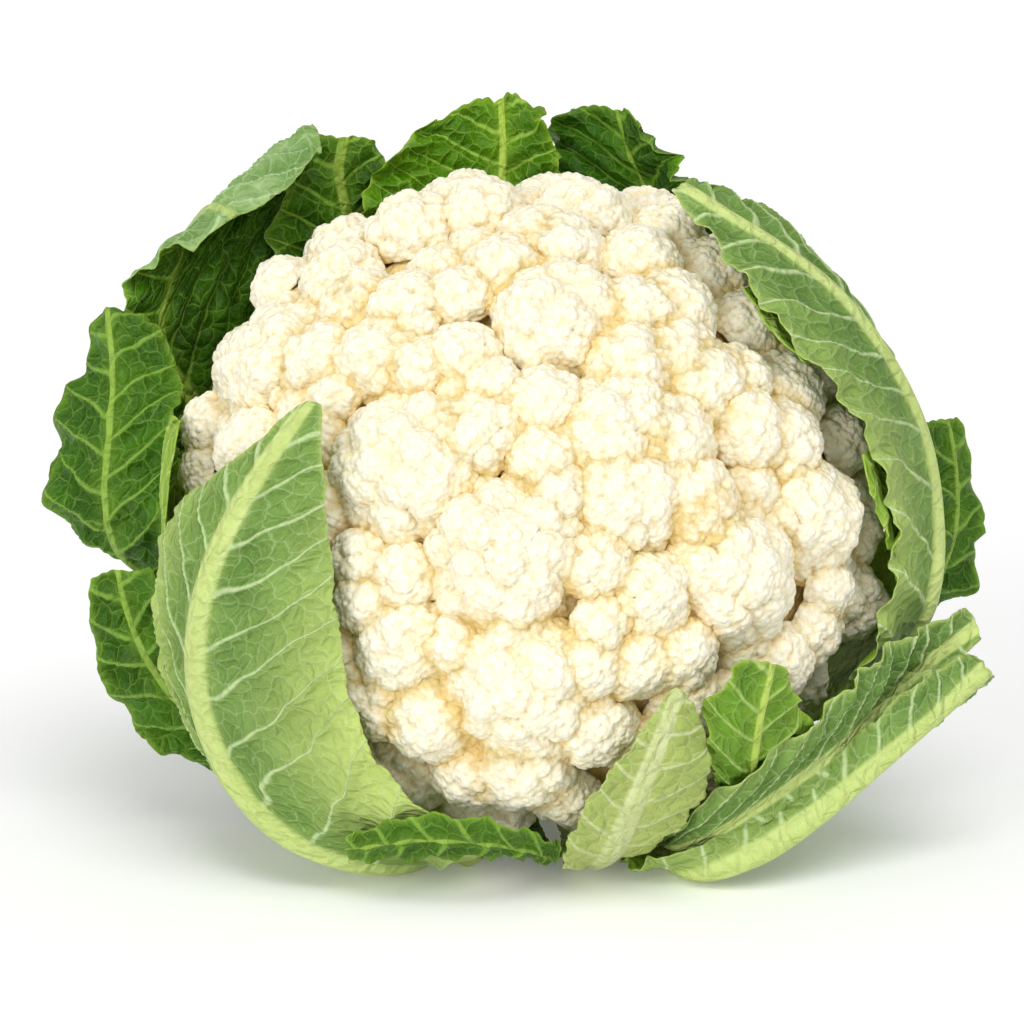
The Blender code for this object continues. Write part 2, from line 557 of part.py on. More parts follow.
def curd_florets():
    """(centre, radius, outward) of every floret in the head's own axes: those seen from the
    front, then smaller ones wherever the curd is still bare."""
    florets = []
    for x, y, radius in FLORETS:
        place, normal = ray_to_curd(x, y)
        florets.append((place - FLORET_SINK * radius * normal, radius, normal))
    golden = math.pi * (3 - math.sqrt(5))
    for radius in FILL_RADII:
        for i in range(FILL_SEATS):
            height = 1 - (1 - FILL_LOWEST) * (i + 0.5) / FILL_SEATS
            ring = math.sqrt(1 - height**2)
            seat = np.array([ring * math.cos(i * golden), ring * math.sin(i * golden), height])
            depth = CURD_HEIGHT if height > 0 else CURD_UNDERSIDE * FILL_BULGE
            size = np.array([CURD_RADIUS, CURD_RADIUS, depth])
            normal = unit(seat / size)
            centre = seat * size - FLORET_SINK * radius * normal
            if all(np.linalg.norm(centre - other) > FILL_SPACING * (radius + near)
                   for other, near, _ in florets):
                florets.append((centre, radius, normal))
    return florets


def golden_points(count, turn):
    """Directions spread evenly over a sphere."""
    i = np.arange(count) + 0.5
    height = 1 - 2 * i / count
    angle = i * math.pi * (3 - math.sqrt(5)) + turn
    ring = np.sqrt(1 - height**2)
    return np.stack([ring * np.cos(angle), ring * np.sin(angle), height], axis=1)


def knob_reach(directions, knobs, offset, size):
    """How far a ball covered in knobs reaches in each direction, as a share of its radius."""
    facing = directions @ knobs.T
    inside = size**2 - offset**2 * (1 - facing**2)
    hit = offset * facing + np.sqrt(np.clip(inside, 0, None))
    return np.max(np.where(inside > 0, hit, 0.0), axis=1)


def to_world(local):
    """A place in the head's own axes, in the part's frame."""
    return CENTRE + local @ np.stack([ACROSS, UPWARD, AXIS])


def new_object(name, mesh, collection, material=None):
    """A new object in a collection, with its material."""
    thing = bpy.data.objects.new(name, mesh)
    collection.objects.link(thing)
    if material:
        mesh.materials.append(material)
    return thing


def floret_mesh(name, centre, radius, turn):
    """One floret: a ball with knobs standing out of it."""
    shape = bmesh.new()
    bmesh.ops.create_icosphere(shape, subdivisions=3 if radius > LARGE_FLORET else 2, radius=1.0)
    directions = unit(np.array([v.co for v in shape.verts]))
    knobs = golden_points(LARGE_KNOBS if radius > LEAST_FLORET else SMALL_KNOBS, turn)
    reach = np.maximum(knob_reach(directions, knobs, KNOB_PLACE, KNOB_SIZE), LEAST_REACH)
    for vertex, direction, far in zip(shape.verts, directions, reach):
        vertex.co = Vector(to_world(centre + direction * far * radius) * MM)
    mesh = bpy.data.meshes.new(name)
    shape.to_mesh(mesh)
    shape.free()
    return mesh


def cone_mesh(name, low, low_radius, high, high_radius, sides):
    """A cone along the head's axis, between two heights."""
    shape = bmesh.new()
    bmesh.ops.create_cone(shape, cap_ends=True, segments=sides, radius1=low_radius * MM,
                          radius2=high_radius * MM, depth=(high - low) * MM)
    turn = Matrix((ACROSS, UPWARD, AXIS)).transposed().to_4x4()
    middle = Vector(to_world(np.array([0, 0, (low + high) / 2])) * MM)
    bmesh.ops.transform(shape, matrix=Matrix.Translation(middle) @ turn, verts=shape.verts)
    mesh = bpy.data.meshes.new(name)
    shape.to_mesh(mesh)
    shape.free()
    return mesh


def build_curd(florets, parts, tools, material):
    """The curd: its florets joined to a core and to the branching foot under them."""
    core = bmesh.new()
    bmesh.ops.create_icosphere(core, subdivisions=3, radius=1.0)
    for vertex in core.verts:
        depth = CURD_HEIGHT if vertex.co.z > 0 else CURD_UNDERSIDE
        size = np.array([CURD_RADIUS, CURD_RADIUS, depth]) - CORE_INSET
        vertex.co = Vector(to_world(np.array(vertex.co) * size) * MM)
    mesh = bpy.data.meshes.new("curd")
    core.to_mesh(mesh)
    core.free()
    curd = new_object("curd", mesh, parts, material)
    for i, (centre, radius, _) in enumerate(f for f in florets if f[1] > LEAST_FLORET):
        new_object(f"floret_{i}", floret_mesh(f"floret_{i}", centre, radius, turn=i * 0.7), tools)
    foot = cone_mesh("foot", STALK_TOP + GAP, STALK_RADIUS - STALK_TAPER, FOOT_TOP, FOOT_RADIUS, 20)
    new_object("foot", foot, tools)
    join = curd.modifiers.new("florets", "BOOLEAN")
    join.operation = "UNION"
    join.operand_type = "COLLECTION"
    join.collection = tools
    join.solver = "MANIFOLD"
    keep_largest(apply_modifiers(curd))
    for thing in list(tools.objects):
        bpy.data.objects.remove(thing)


def keep_largest(mesh):
    """Removes every closed shell but the largest: the others are hollows left inside it."""
    shape = bmesh.new()
    shape.from_mesh(mesh)
    left = set(shape.verts)
    shells = []
    while left:
        shell = {left.pop()}
        edge = set(shell)
        while edge:
            edge = {e.other_vert(v) for v in edge for e in v.link_edges} & left
            left -= edge
            shell |= edge
        shells.append(shell)
    shells.sort(key=len)
    bmesh.ops.delete(shape, geom=[v for shell in shells[:-1] for v in shell], context="VERTS")
    shape.to_mesh(mesh)
    shape.free()


def apply_modifiers(thing):
    """Makes what the modifiers show the object's own mesh."""
    bpy.context.view_layer.update()
    shown = thing.evaluated_get(bpy.context.evaluated_depsgraph_get())
    mesh = bpy.data.meshes.new_from_object(shown)
    thing.modifiers.clear()
    thing.data = mesh
    return mesh


def build_stalk(parts, material):
    """The stalk, cut flat at its end and again where it touches the floor."""
    mesh = cone_mesh("stalk", STALK_BUTT, STALK_RADIUS, STALK_TOP, STALK_RADIUS - STALK_TAPER, 28)
    stalk = new_object("stalk", mesh, parts, material)
    for vertex in mesh.vertices:
        vertex.co.z = max(vertex.co.z, 0.0)
    return stalk


def leaf_object(name, points, thickness, parts, material):
    """One leaf: its sheet given its thickness, with the rib standing out on the outside."""
    rows, columns = thickness.shape
    shape = bmesh.new()
    bmesh.ops.create_grid(shape, x_segments=columns - 1, y_segments=rows - 1, size=1.0)
    bmesh.ops.triangulate(shape, faces=shape.faces)
    mesh = bpy.data.meshes.new(name)
    thing = new_object(name, mesh, parts, material)
    most = float(thickness.max())
    group = thing.vertex_groups.new(name="thickness")
    weights = []
    for vertex in shape.verts:
        column = round((vertex.co.x + 1) / 2 * (columns - 1))
        row = round((vertex.co.y + 1) / 2 * (rows - 1))
        vertex.co = Vector(points[row, column] * MM)
        weights.append(float(thickness[row, column]) / most)
    shape.to_mesh(mesh)
    shape.free()
    for index, weight in enumerate(weights):
        group.add([index], weight, "REPLACE")
    solid = thing.modifiers.new("thickness", "SOLIDIFY")
    solid.thickness = most * MM
    solid.offset = 1.0
    solid.vertex_group = "thickness"
    solid.thickness_vertex_group = 0.0
    solid.use_even_offset = False
    mesh = apply_modifiers(thing)
    for vertex in mesh.vertices:
        vertex.co.z = max(vertex.co.z, 0.0)


def finish(name, colour, roughness):
    """A plain material of one colour."""
    material = bpy.data.materials.new(name)
    material.use_nodes = True
    shader = material.node_tree.nodes["Principled BSDF"]
    shader.inputs["Base Color"].default_value = (*colour, 1.0)
    shader.inputs["Roughness"].default_value = roughness
    return material


def main():
    """Builds every part of the head."""
    for thing in list(bpy.data.objects):
        bpy.data.objects.remove(thing)
    parts = bpy.data.collections.new("cauliflower")
    tools = bpy.data.collections.new("cutters")
    bpy.context.scene.collection.children.link(parts)
    bpy.context.scene.collection.children.link(tools)
    cream = finish("curd_flesh", (0.86, 0.78, 0.60), 0.6)
    pale = finish("stalk_flesh", (0.72, 0.76, 0.46), 0.45)
    green = finish("leaf_green", (0.13, 0.30, 0.05), 0.45)

    florets = curd_florets()
    build_curd(florets, parts, tools, cream)
    build_stalk(parts, pale)
    cover = Cover()
    for centre, radius, _ in florets:
        ball = golden_points(FLORET_SAMPLES, 0.0) * radius * FLORET_ROOM
        cover.lay(to_world(centre + ball))
    for name, (points, thickness) in lay_leaves(cover).items():
        leaf_object(name, points, thickness, parts, green)


main()
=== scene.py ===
"""A fresh cauliflower, dressed over its CAD frame: curd, stalk and a basket of leaves.

The leaves' curves and the florets are set out as in the CAD source, in millimetres, and then
given their fine forms: teeth, ruffles, veins and ribs on the leaves, and beads on the curd.
"""
import logging
import math
from dataclasses import dataclass, field
from enum import Enum

import bmesh
import bpy
import numpy as np
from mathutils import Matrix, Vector
from mathutils.kdtree import KDTree


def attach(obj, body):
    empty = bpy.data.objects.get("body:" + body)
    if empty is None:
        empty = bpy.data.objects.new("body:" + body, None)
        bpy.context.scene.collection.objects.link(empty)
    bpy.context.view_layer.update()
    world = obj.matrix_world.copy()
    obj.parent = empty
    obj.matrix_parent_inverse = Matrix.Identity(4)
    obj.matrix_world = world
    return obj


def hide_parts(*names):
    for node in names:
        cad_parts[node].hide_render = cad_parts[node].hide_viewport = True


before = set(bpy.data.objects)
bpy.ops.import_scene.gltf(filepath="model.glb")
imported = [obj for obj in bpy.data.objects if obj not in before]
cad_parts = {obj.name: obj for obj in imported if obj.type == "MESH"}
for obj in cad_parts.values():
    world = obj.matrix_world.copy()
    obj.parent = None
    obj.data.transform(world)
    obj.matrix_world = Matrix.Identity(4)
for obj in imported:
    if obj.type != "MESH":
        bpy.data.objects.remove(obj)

log = logging.getLogger("cauliflower")

MM = 0.001
# The golden angle, as a share of half a turn.
GOLDEN = 3 - math.sqrt(5)
# The florets that the photograph shows: x, y and radius, in the front view.
FLORETS = (
    (-33, 11, 21), (-13, 19, 11), (-7, -12, 21), (23, 19, 17), (25, 3, 15), (36, 18, 12),
    (3, 12, 9), (7, 3, 8), (17, -15, 9), (31, -24, 11), (18, -31, 8), (-4, -48, 21),
    (-3, -69, 14), (15, -41, 10), (-27, -56, 13), (17, -58, 11), (-34, -37, 13), (-33, -18, 8),
    (-44, -14, 8), (-43, -25, 9), (-40, -52, 11), (-21, -36, 7), (28, -41, 10), (39, -39, 10),
    (42, 3, 11), (-31, 72, 13), (-13, 76, 11), (-8, 61, 11), (1, 69, 11), (15, 76, 14),
    (9, 66, 11), (7, 50, 18), (-32, 51, 12), (-18, 54, 9), (-40, 38, 12), (-17, 39, 9),
    (-29, 35, 8), (-10, 31, 7), (4, 26, 10), (-50, 59, 12), (-43, 53, 9), (29, 63, 12),
    (36, 70, 11), (28, 50, 11), (37, 52, 12), (26, 37, 12), (38, 38, 11), (-67, 38, 19),
    (-54, 38, 12), (-83, 19, 10), (-73, 15, 11), (-50, 27, 7), (-84, 8, 9), (-64, 56, 9),
    (-47, 50, 9), (48, 60, 12), (45, 32, 12), (54, 33, 9), (67, 30, 11), (56, 20, 11),
    (66, 17, 12), (74, -2, 16), (54, -18, 19), (45, -2, 10), (76, -22, 8), (84, -26, 10),
    (73, -33, 9), (64, -42, 10), (70, -47, 8), (40, -52, 10), (52, -52, 10), (-66, 2, 13),
    (-62, -16, 12), (-52, -40, 12), (-57, -2, 11), (56, 48, 10), (-16, -70, 10), (9, -76, 9),
    (30, -64, 10), (80, 16, 9), (-56, 18, 9),
)


class Face(Enum):
    """The two faces of a leaf."""

    INNER = 0
    OUTER = 1


class Tone(Enum):
    """How a leaf has grown: where the light reached it, and how old it is."""

    BROAD = "broad outer leaf"
    DARK = "dark outer leaf"
    DEEP = "deep green crinkled leaf"
    BRIGHT = "bright upper leaf"
    PALE = "pale young leaf"


def unit(vectors: np.ndarray) -> np.ndarray:
    """Vectors scaled to a length of one."""
    return vectors / np.maximum(np.linalg.norm(vectors, axis=-1, keepdims=True), 1e-12)


def blend(places: np.ndarray, values: np.ndarray, slopes: np.ndarray, s: np.ndarray) -> np.ndarray:
    """Reads the cubic curve with the given values and slopes at places.

    Args:
        places: Increasing positions of the known values.
        values: The values, one row for each place.
        slopes: Their slopes, shaped as the values.
        s: The positions to read at.

    Returns:
        One row for each position in s.
    """
    k = np.clip(np.searchsorted(places, s) - 1, 0, len(places) - 2)
    span = (places[k + 1] - places[k])[:, None]
    f = (s - places[k])[:, None] / span
    a, b = values[k], values[k + 1]
    ma, mb = slopes[k] * span, slopes[k + 1] * span
    return (2 * f**3 - 3 * f**2 + 1) * a + (f**3 - 2 * f**2 + f) * ma \
        + (3 * f**2 - 2 * f**3) * b + (f**3 - f**2) * mb


def hermite(places: np.ndarray, values: np.ndarray, s: np.ndarray) -> np.ndarray:
    """A smooth curve through values at places, read at s."""
    return blend(places, values, np.gradient(values, places, axis=0), s)


def steady(places: np.ndarray, values: np.ndarray, s: np.ndarray) -> np.ndarray:
    """A smooth curve through values at places that never swings past them, read at s."""
    secants = np.diff(values, axis=0) / np.diff(places)[:, None]
    slopes = np.concatenate([secants[:1], secants[:-1], secants[-1:]])
    before, after = secants[:-1], secants[1:]
    both = before * after > 0
    slopes[1:-1] = np.where(both, 2 * before * after / np.where(both, before + after, 1), 0)
    return blend(places, values, slopes, s)


def run_of(points: np.ndarray) -> np.ndarray:
    """The distance walked along a row of points, at each of them."""
    return np.concatenate([[0], np.cumsum(np.linalg.norm(np.diff(points, axis=0), axis=1))])


def evenly(curve: list, s: np.ndarray) -> np.ndarray:
    """Points at the fractions s of the length of a smooth curve through the given ones."""
    points = np.asarray(curve)
    dense = np.linspace(0, 1, 300)
    run = run_of(points)
    fine = hermite(run / run[-1], points, dense)
    travel = run_of(fine)
    return hermite(run / run[-1], points, np.interp(s, travel / travel[-1], dense))


def golden_points(count: int, turn: float) -> np.ndarray:
    """Directions spread evenly over a sphere, as rows of unit vectors."""
    i = np.arange(count) + 0.5
    height = 1 - 2 * i / count
    angle = i * math.pi * GOLDEN + turn
    ring = np.sqrt(1 - height**2)
    return np.stack([ring * np.cos(angle), ring * np.sin(angle), height], axis=1)


def drift(points: np.ndarray, cell: float, seed: int) -> np.ndarray:
    """Soft noise that wanders over about one cell.

    Args:
        points: Places, with the coordinates in the last axis.
        cell: The size of a cell, in the places' own unit.
        seed: Picks the noise.

    Returns:
        Values from -1 to 1, one for each place.
    """
    table = np.random.default_rng(seed).uniform(-1, 1, 4096)
    at = points / cell
    low = np.floor(at).astype(np.int64)
    f = at - low
    f = f * f * (3 - 2 * f)
    total = np.zeros(points.shape[:-1])
    count = points.shape[-1]
    for corner in range(2**count):
        weight = np.ones(points.shape[:-1])
        key = np.zeros(points.shape[:-1], dtype=np.int64)
        for axis in range(count):
            step = corner >> axis & 1
            weight = weight * (f[..., axis] if step else 1 - f[..., axis])
            key = key * 7919 + (low[..., axis] + step) * 104729
        total += weight * table[(key ^ key >> 7) % 4096]
    return total


def refined(grid: np.ndarray, times: int = 3) -> np.ndarray:
    """A grid of points with rows and columns put between by straight interpolation."""
    for axis in (0, 1):
        count = grid.shape[axis]
        at = np.linspace(0, count - 1, (count - 1) * times + 1)
        low = np.minimum(at.astype(int), count - 2)
        f = (at - low).reshape((-1, 1, 1) if axis == 0 else (1, -1, 1))
        grid = np.take(grid, low, axis) * (1 - f) + np.take(grid, low + 1, axis) * f
    return grid


def sheet_normals(points: np.ndarray) -> np.ndarray:
    """Normals of a sheet, pointing away from the head."""
    return unit(np.cross(np.gradient(points, axis=1), np.gradient(points, axis=0)))


def eased(points: np.ndarray, dense: np.ndarray, need: np.ndarray) -> np.ndarray:
    """How far to move each point of a sheet so that the dense ones move by what they need.

    Args:
        points: The sheet's own points, as rows and columns.
        dense: Points all over the sheet.
        need: How far each dense point has to move.

    Returns:
        The moves of the sheet's points, with no steep step from one to the next.
    """
    apart = np.linalg.norm(points[:, :, None] - dense.reshape(1, 1, -1, 3), axis=-1)
    fall = Basket.STEEPEST * np.maximum(apart - Basket.FACET, 0)
    return np.maximum((need.reshape(1, 1, -1) - fall).max(axis=-1), 0)


def relaxed(points: np.ndarray) -> np.ndarray:
    """A sheet with its creases eased: every point drawn towards the middle of its neighbours."""
    for axis in (0, 1):
        turned = np.moveaxis(points, axis, 0)
        middle = (turned[:-2] + turned[2:]) / 2
        turned = np.concatenate([turned[:1], (turned[1:-1] + middle) / 2, turned[-1:]])
        points = np.moveaxis(turned, 0, axis)
    return points


@dataclass(frozen=True)
class Head:
    """The head's own frame, and the basket shape that its leaves follow, in millimetres."""

    place: tuple[float, float, float] = (3.1, -11.0, 83.5)
    tilt: float = math.radians(37.0)
    curd_radius: float = 84.0
    curd_height: float = 64.0
    curd_underside: float = 34.0
    basket_radius: float = 92.0
    basket_height: float = 72.0
    basket_depth: float = 96.0
    basket_flatness: float = 0.62
    stalk_radius: float = 25.0
    stalk_top: float = -45.0
    stalk_butt: float = -107.0
    view_tilt: float = math.radians(12.0)
    view_distance: float = 1000.0
    # How far behind the curd's middle the heart lies.
    heart_depth: float = 10.0
    # How much nearer and farther than the curd's middle a sight line is searched.
    sight_near: float = 130.0
    sight_far: float = 40.0

    @property
    def centre(self) -> np.ndarray:
        """The middle of the curd."""
        return np.array(self.place)

    @property
    def axes(self) -> np.ndarray:
        """Rows: across the head, up its face, and out along its axis."""
        lean, rise = math.sin(self.tilt), math.cos(self.tilt)
        return np.array([[1.0, 0.0, 0.0], [0.0, lean, rise], [0.0, -rise, lean]])

    @property
    def heart(self) -> np.ndarray:
        """The place that the leaves are spread out from."""
        return self.centre - self.heart_depth * self.axes[2]

    @property
    def view(self) -> np.ndarray:
        """Rows: right, up and towards the eye, in the front view."""
        lean, rise = math.sin(self.view_tilt), math.cos(self.view_tilt)
        return np.array([[1.0, 0.0, 0.0], [0.0, lean, rise], [0.0, -rise, lean]])

    def to_world(self, local: np.ndarray) -> np.ndarray:
        """Places in the head's own axes, in the part's frame."""
        return self.centre + local @ self.axes

    def profile(self, station: np.ndarray) -> tuple[np.ndarray, np.ndarray]:
        """Radius and height of the basket at stations from 0, the stalk, to 2, the crown."""
        low = np.clip(station, 0.0, 1.0)
        bend = math.pi / 2 * low
        crown = math.pi / 2 * np.clip(station - 1, 0.0, 1.0)
        k = self.basket_flatness
        opening = k * low + (1 - k) * np.sin(bend)
        radius = self.stalk_radius + (self.basket_radius - self.stalk_radius) * opening
        height = -self.basket_depth * (k * (1 - low) + (1 - k) * np.cos(bend))
        above = station > 1
        radius = np.where(above, self.basket_radius * np.cos(crown), radius)
        return radius, np.where(above, self.basket_height * np.sin(crown), height)

    def around(self, azimuth: float, station: float, lift: float) -> np.ndarray:
        """A place on the basket, lifted off it, at an azimuth in degrees and a station."""
        step = 1e-3
        radius, height = self.profile(np.array([station - step, station, station + step]))
        run, rise = radius[2] - radius[0], height[2] - height[0]
        size = math.hypot(run, rise)
        turn = math.radians(azimuth)
        radial = math.cos(turn) * self.axes[0] + math.sin(turn) * self.axes[1]
        return self.centre + (radius[1] + lift * rise / size) * radial \
            + (height[1] - lift * run / size) * self.axes[2]

    def sight(self, x: float, y: float) -> tuple[np.ndarray, np.ndarray]:
        """The eye, and the direction from it through (x, y) of the front view."""
        right, rise, toward = self.view
        eye = self.centre + toward * self.view_distance
        return eye, unit(self.centre + x * right + y * rise - eye)

    def deep(self, x: float, y: float, depth: float) -> np.ndarray:
        """The place seen at (x, y) of the front view, depth nearer than the curd's middle."""
        eye, way = self.sight(x, y)
        return eye + way * (self.view_distance - depth) / -(way @ self.view[2])

    def front(self, x: float, y: float, lift: float) -> np.ndarray:
        """The place seen at (x, y) of the front view that stands lift off the basket's near
        side, or the nearest to that where the sight line passes beside it."""
        eye, way = self.sight(x, y)
        middle, behind = self.view_distance, self.heart_depth
        ways = np.linspace(middle - self.sight_near, middle + self.sight_far, 341)
        away = eye + ways[:, None] * way - self.centre
        height = away @ self.axes[2]
        radius = np.linalg.norm(away - height[:, None] * self.axes[2], axis=1)
        rim, level = self.profile(np.linspace(0, 2, 161))
        gap = np.hypot(radius[:, None] - rim, height[:, None] - level).min(axis=1)
        turn = np.arctan2(height + behind, radius)
        reach = np.interp(turn, np.arctan2(level + behind, rim), np.hypot(rim, level + behind))
        off = np.where(np.hypot(radius, height + behind) < reach, -gap, gap) - lift
        crossing = np.nonzero(off < 0)[0]
        return eye + ways[crossing[0] if len(crossing) else np.argmin(off)] * way

    def on_curd(self, x: float, y: float) -> tuple[np.ndarray, np.ndarray]:
        """Where the sight line through (x, y) meets the curd, and the normal there, both in
        the head's own axes."""
        eye, way = self.sight(x, y)
        size = np.array([self.curd_radius, self.curd_radius, self.curd_height])
        start, way = self.axes @ (eye - self.centre) / size, self.axes @ way / size
        a, b, c = way @ way, 2 * start @ way, start @ start - 1
        root = max(b * b - 4 * a * c, 0.0)
        local = (start + way * (-b - math.sqrt(root)) / (2 * a)) * size
        return local, unit(local / size**2)


HEAD = Head()


def path(text: str) -> list[np.ndarray]:
    """The places that a curve's text names.

    Args:
        text: Stretches parted by semicolons. Each begins with the way its points are set out,
            around, deep or front, and has the three numbers of each point, parted by commas.

    Returns:
        The places in the part's frame.
    """
    ways = {"around": HEAD.around, "deep": HEAD.deep, "front": HEAD.front}
    places = []
    for stretch in text.split(";"):
        way, points = stretch.split(maxsplit=1)
        places += [ways[way](*map(float, point.split())) for point in points.split(",")]
    return places


@dataclass(frozen=True)
class Leaf:
    """One leaf, drawn by curves that run from its base to its tip, from its left edge to its
    right one as seen from outside. The rib is (width at base, at tip, height at base, at tip)."""

    # Thickness of the blade and of its edge, and how far apart the fine mesh's points are.
    BLADE = 0.8
    EDGE = 0.35
    GRAIN = 1.0
    # The rib's columns, the share of its side that it may fill, and its height by half width.
    RIB_COLUMNS = (-1.0, -0.55, 0.0, 0.55, 1.0)
    RIB_FILL = 0.8
    RIB_RISE = 0.6

    name: str
    curves: tuple[str, ...]
    rib_curve: int
    rib: tuple[float, float, float, float]
    ruffle: float = 1.5
    waves: float = 3.0
    rows: int = 12
    columns: int = 3

    def rib_size(self, s: np.ndarray) -> tuple[np.ndarray, np.ndarray]:
        """Width and height of the rib at the fractions s of the leaf's length."""
        width_base, width_tip, height_base, height_tip = self.rib
        fall = 1 - (1 - s) ** 1.3
        return (width_base + (width_tip - width_base) * fall,
                height_base + (height_tip - height_base) * fall)

    def sheet(self) -> tuple[np.ndarray, np.ndarray]:
        """The leaf as the CAD source has it.

        Returns:
            The inner face as rows of points, and the thickness at each of them.
        """
        s = np.linspace(0, 1, self.rows)
        curves = np.stack([evenly(path(curve), s) for curve in self.curves], axis=1)
        away = curves - HEAD.heart
        reach = np.linalg.norm(away, axis=-1, keepdims=True)
        turned = np.concatenate([away / reach, reach], axis=-1)
        rib_width, rib_height = self.rib_size(s)
        hump = np.sqrt(1 - np.square(self.RIB_COLUMNS))
        flat = np.zeros(self.columns)
        rows, widths, shares, humps = [], [], [], []
        for row, line in enumerate(turned):
            run = run_of(curves[row])
            run = run - run[self.rib_curve]
            half = min(rib_width[row] / 2, -self.RIB_FILL * run[0], self.RIB_FILL * run[-1])
            steps = np.linspace(0, 1, self.columns + 1)[1:]
            across = np.concatenate([(-half + (run[0] + half) * steps)[::-1],
                                     half * np.array(self.RIB_COLUMNS),
                                     half + (run[-1] - half) * steps])
            mixed = steady(run, line, across)
            rows.append(HEAD.heart + unit(mixed[:, :3]) * mixed[:, 3:])
            widths.append(across)
            shares.append(np.where(across < 0, across / run[0], across / run[-1]))
            rise = min(rib_height[row], self.RIB_RISE * half)
            humps.append(rise * np.concatenate([flat, hump, flat]))
        points, across, share = np.array(rows), np.array(widths), np.array(shares)
        wave = np.sin(2 * math.pi * self.waves * s[:, None] + np.where(across < 0, 0.0, 2.1))
        points = points + sheet_normals(points) * (self.ruffle * wave * share**2)[..., None]
        return points, self.BLADE + np.array(humps)


class Cover:
    """How far out from the head's heart the pieces laid so far reach, in each direction."""

    STEP = math.radians(1.5)

    def __init__(self) -> None:
        """Starts with nothing laid."""
        self.rows = int(math.pi / self.STEP)
        self.columns = 2 * self.rows
        self.reach = np.zeros((self.rows, self.columns))

    def cells(self, points: np.ndarray) -> tuple[np.ndarray, np.ndarray, np.ndarray, np.ndarray]:
        """The row and column of each point's cell, its distance and its direction."""
        away = points - HEAD.heart
        radius = np.linalg.norm(away, axis=-1)
        across, upward, axis = HEAD.axes
        polar = np.arccos(np.clip(away @ axis / radius, -1, 1))
        turn = np.arctan2(away @ upward, away @ across) % (2 * math.pi)
        row = np.minimum((polar / self.STEP).astype(int), self.rows - 1)
        column = np.minimum((turn / self.STEP).astype(int), self.columns - 1)
        return row, column, radius, away / radius[..., None]

    def lay(self, points: np.ndarray) -> None:
        """Adds points to what is covered."""
        row, column, radius, _ = self.cells(points.reshape(-1, 3))
        np.maximum.at(self.reach, (row, column), radius)

    def spread(self) -> np.ndarray:
        """The reach, widened by one cell."""
        up, down = np.roll(self.reach, 1, axis=0), np.roll(self.reach, -1, axis=0)
        up[0], down[-1] = 0, 0
        return np.maximum.reduce([self.reach, up, down, np.roll(self.reach, 1, axis=1),
                                  np.roll(self.reach, -1, axis=1)])

    def lift(self, points: np.ndarray, clearance: float) -> np.ndarray:
        """Moves a sheet out until it is clear of what is covered."""
        dense = refined(points)
        row, column, radius, _ = self.cells(dense)
        need = self.spread()[row, column] + clearance - radius
        return points + eased(points, dense, need)[..., None] * self.cells(points)[3]


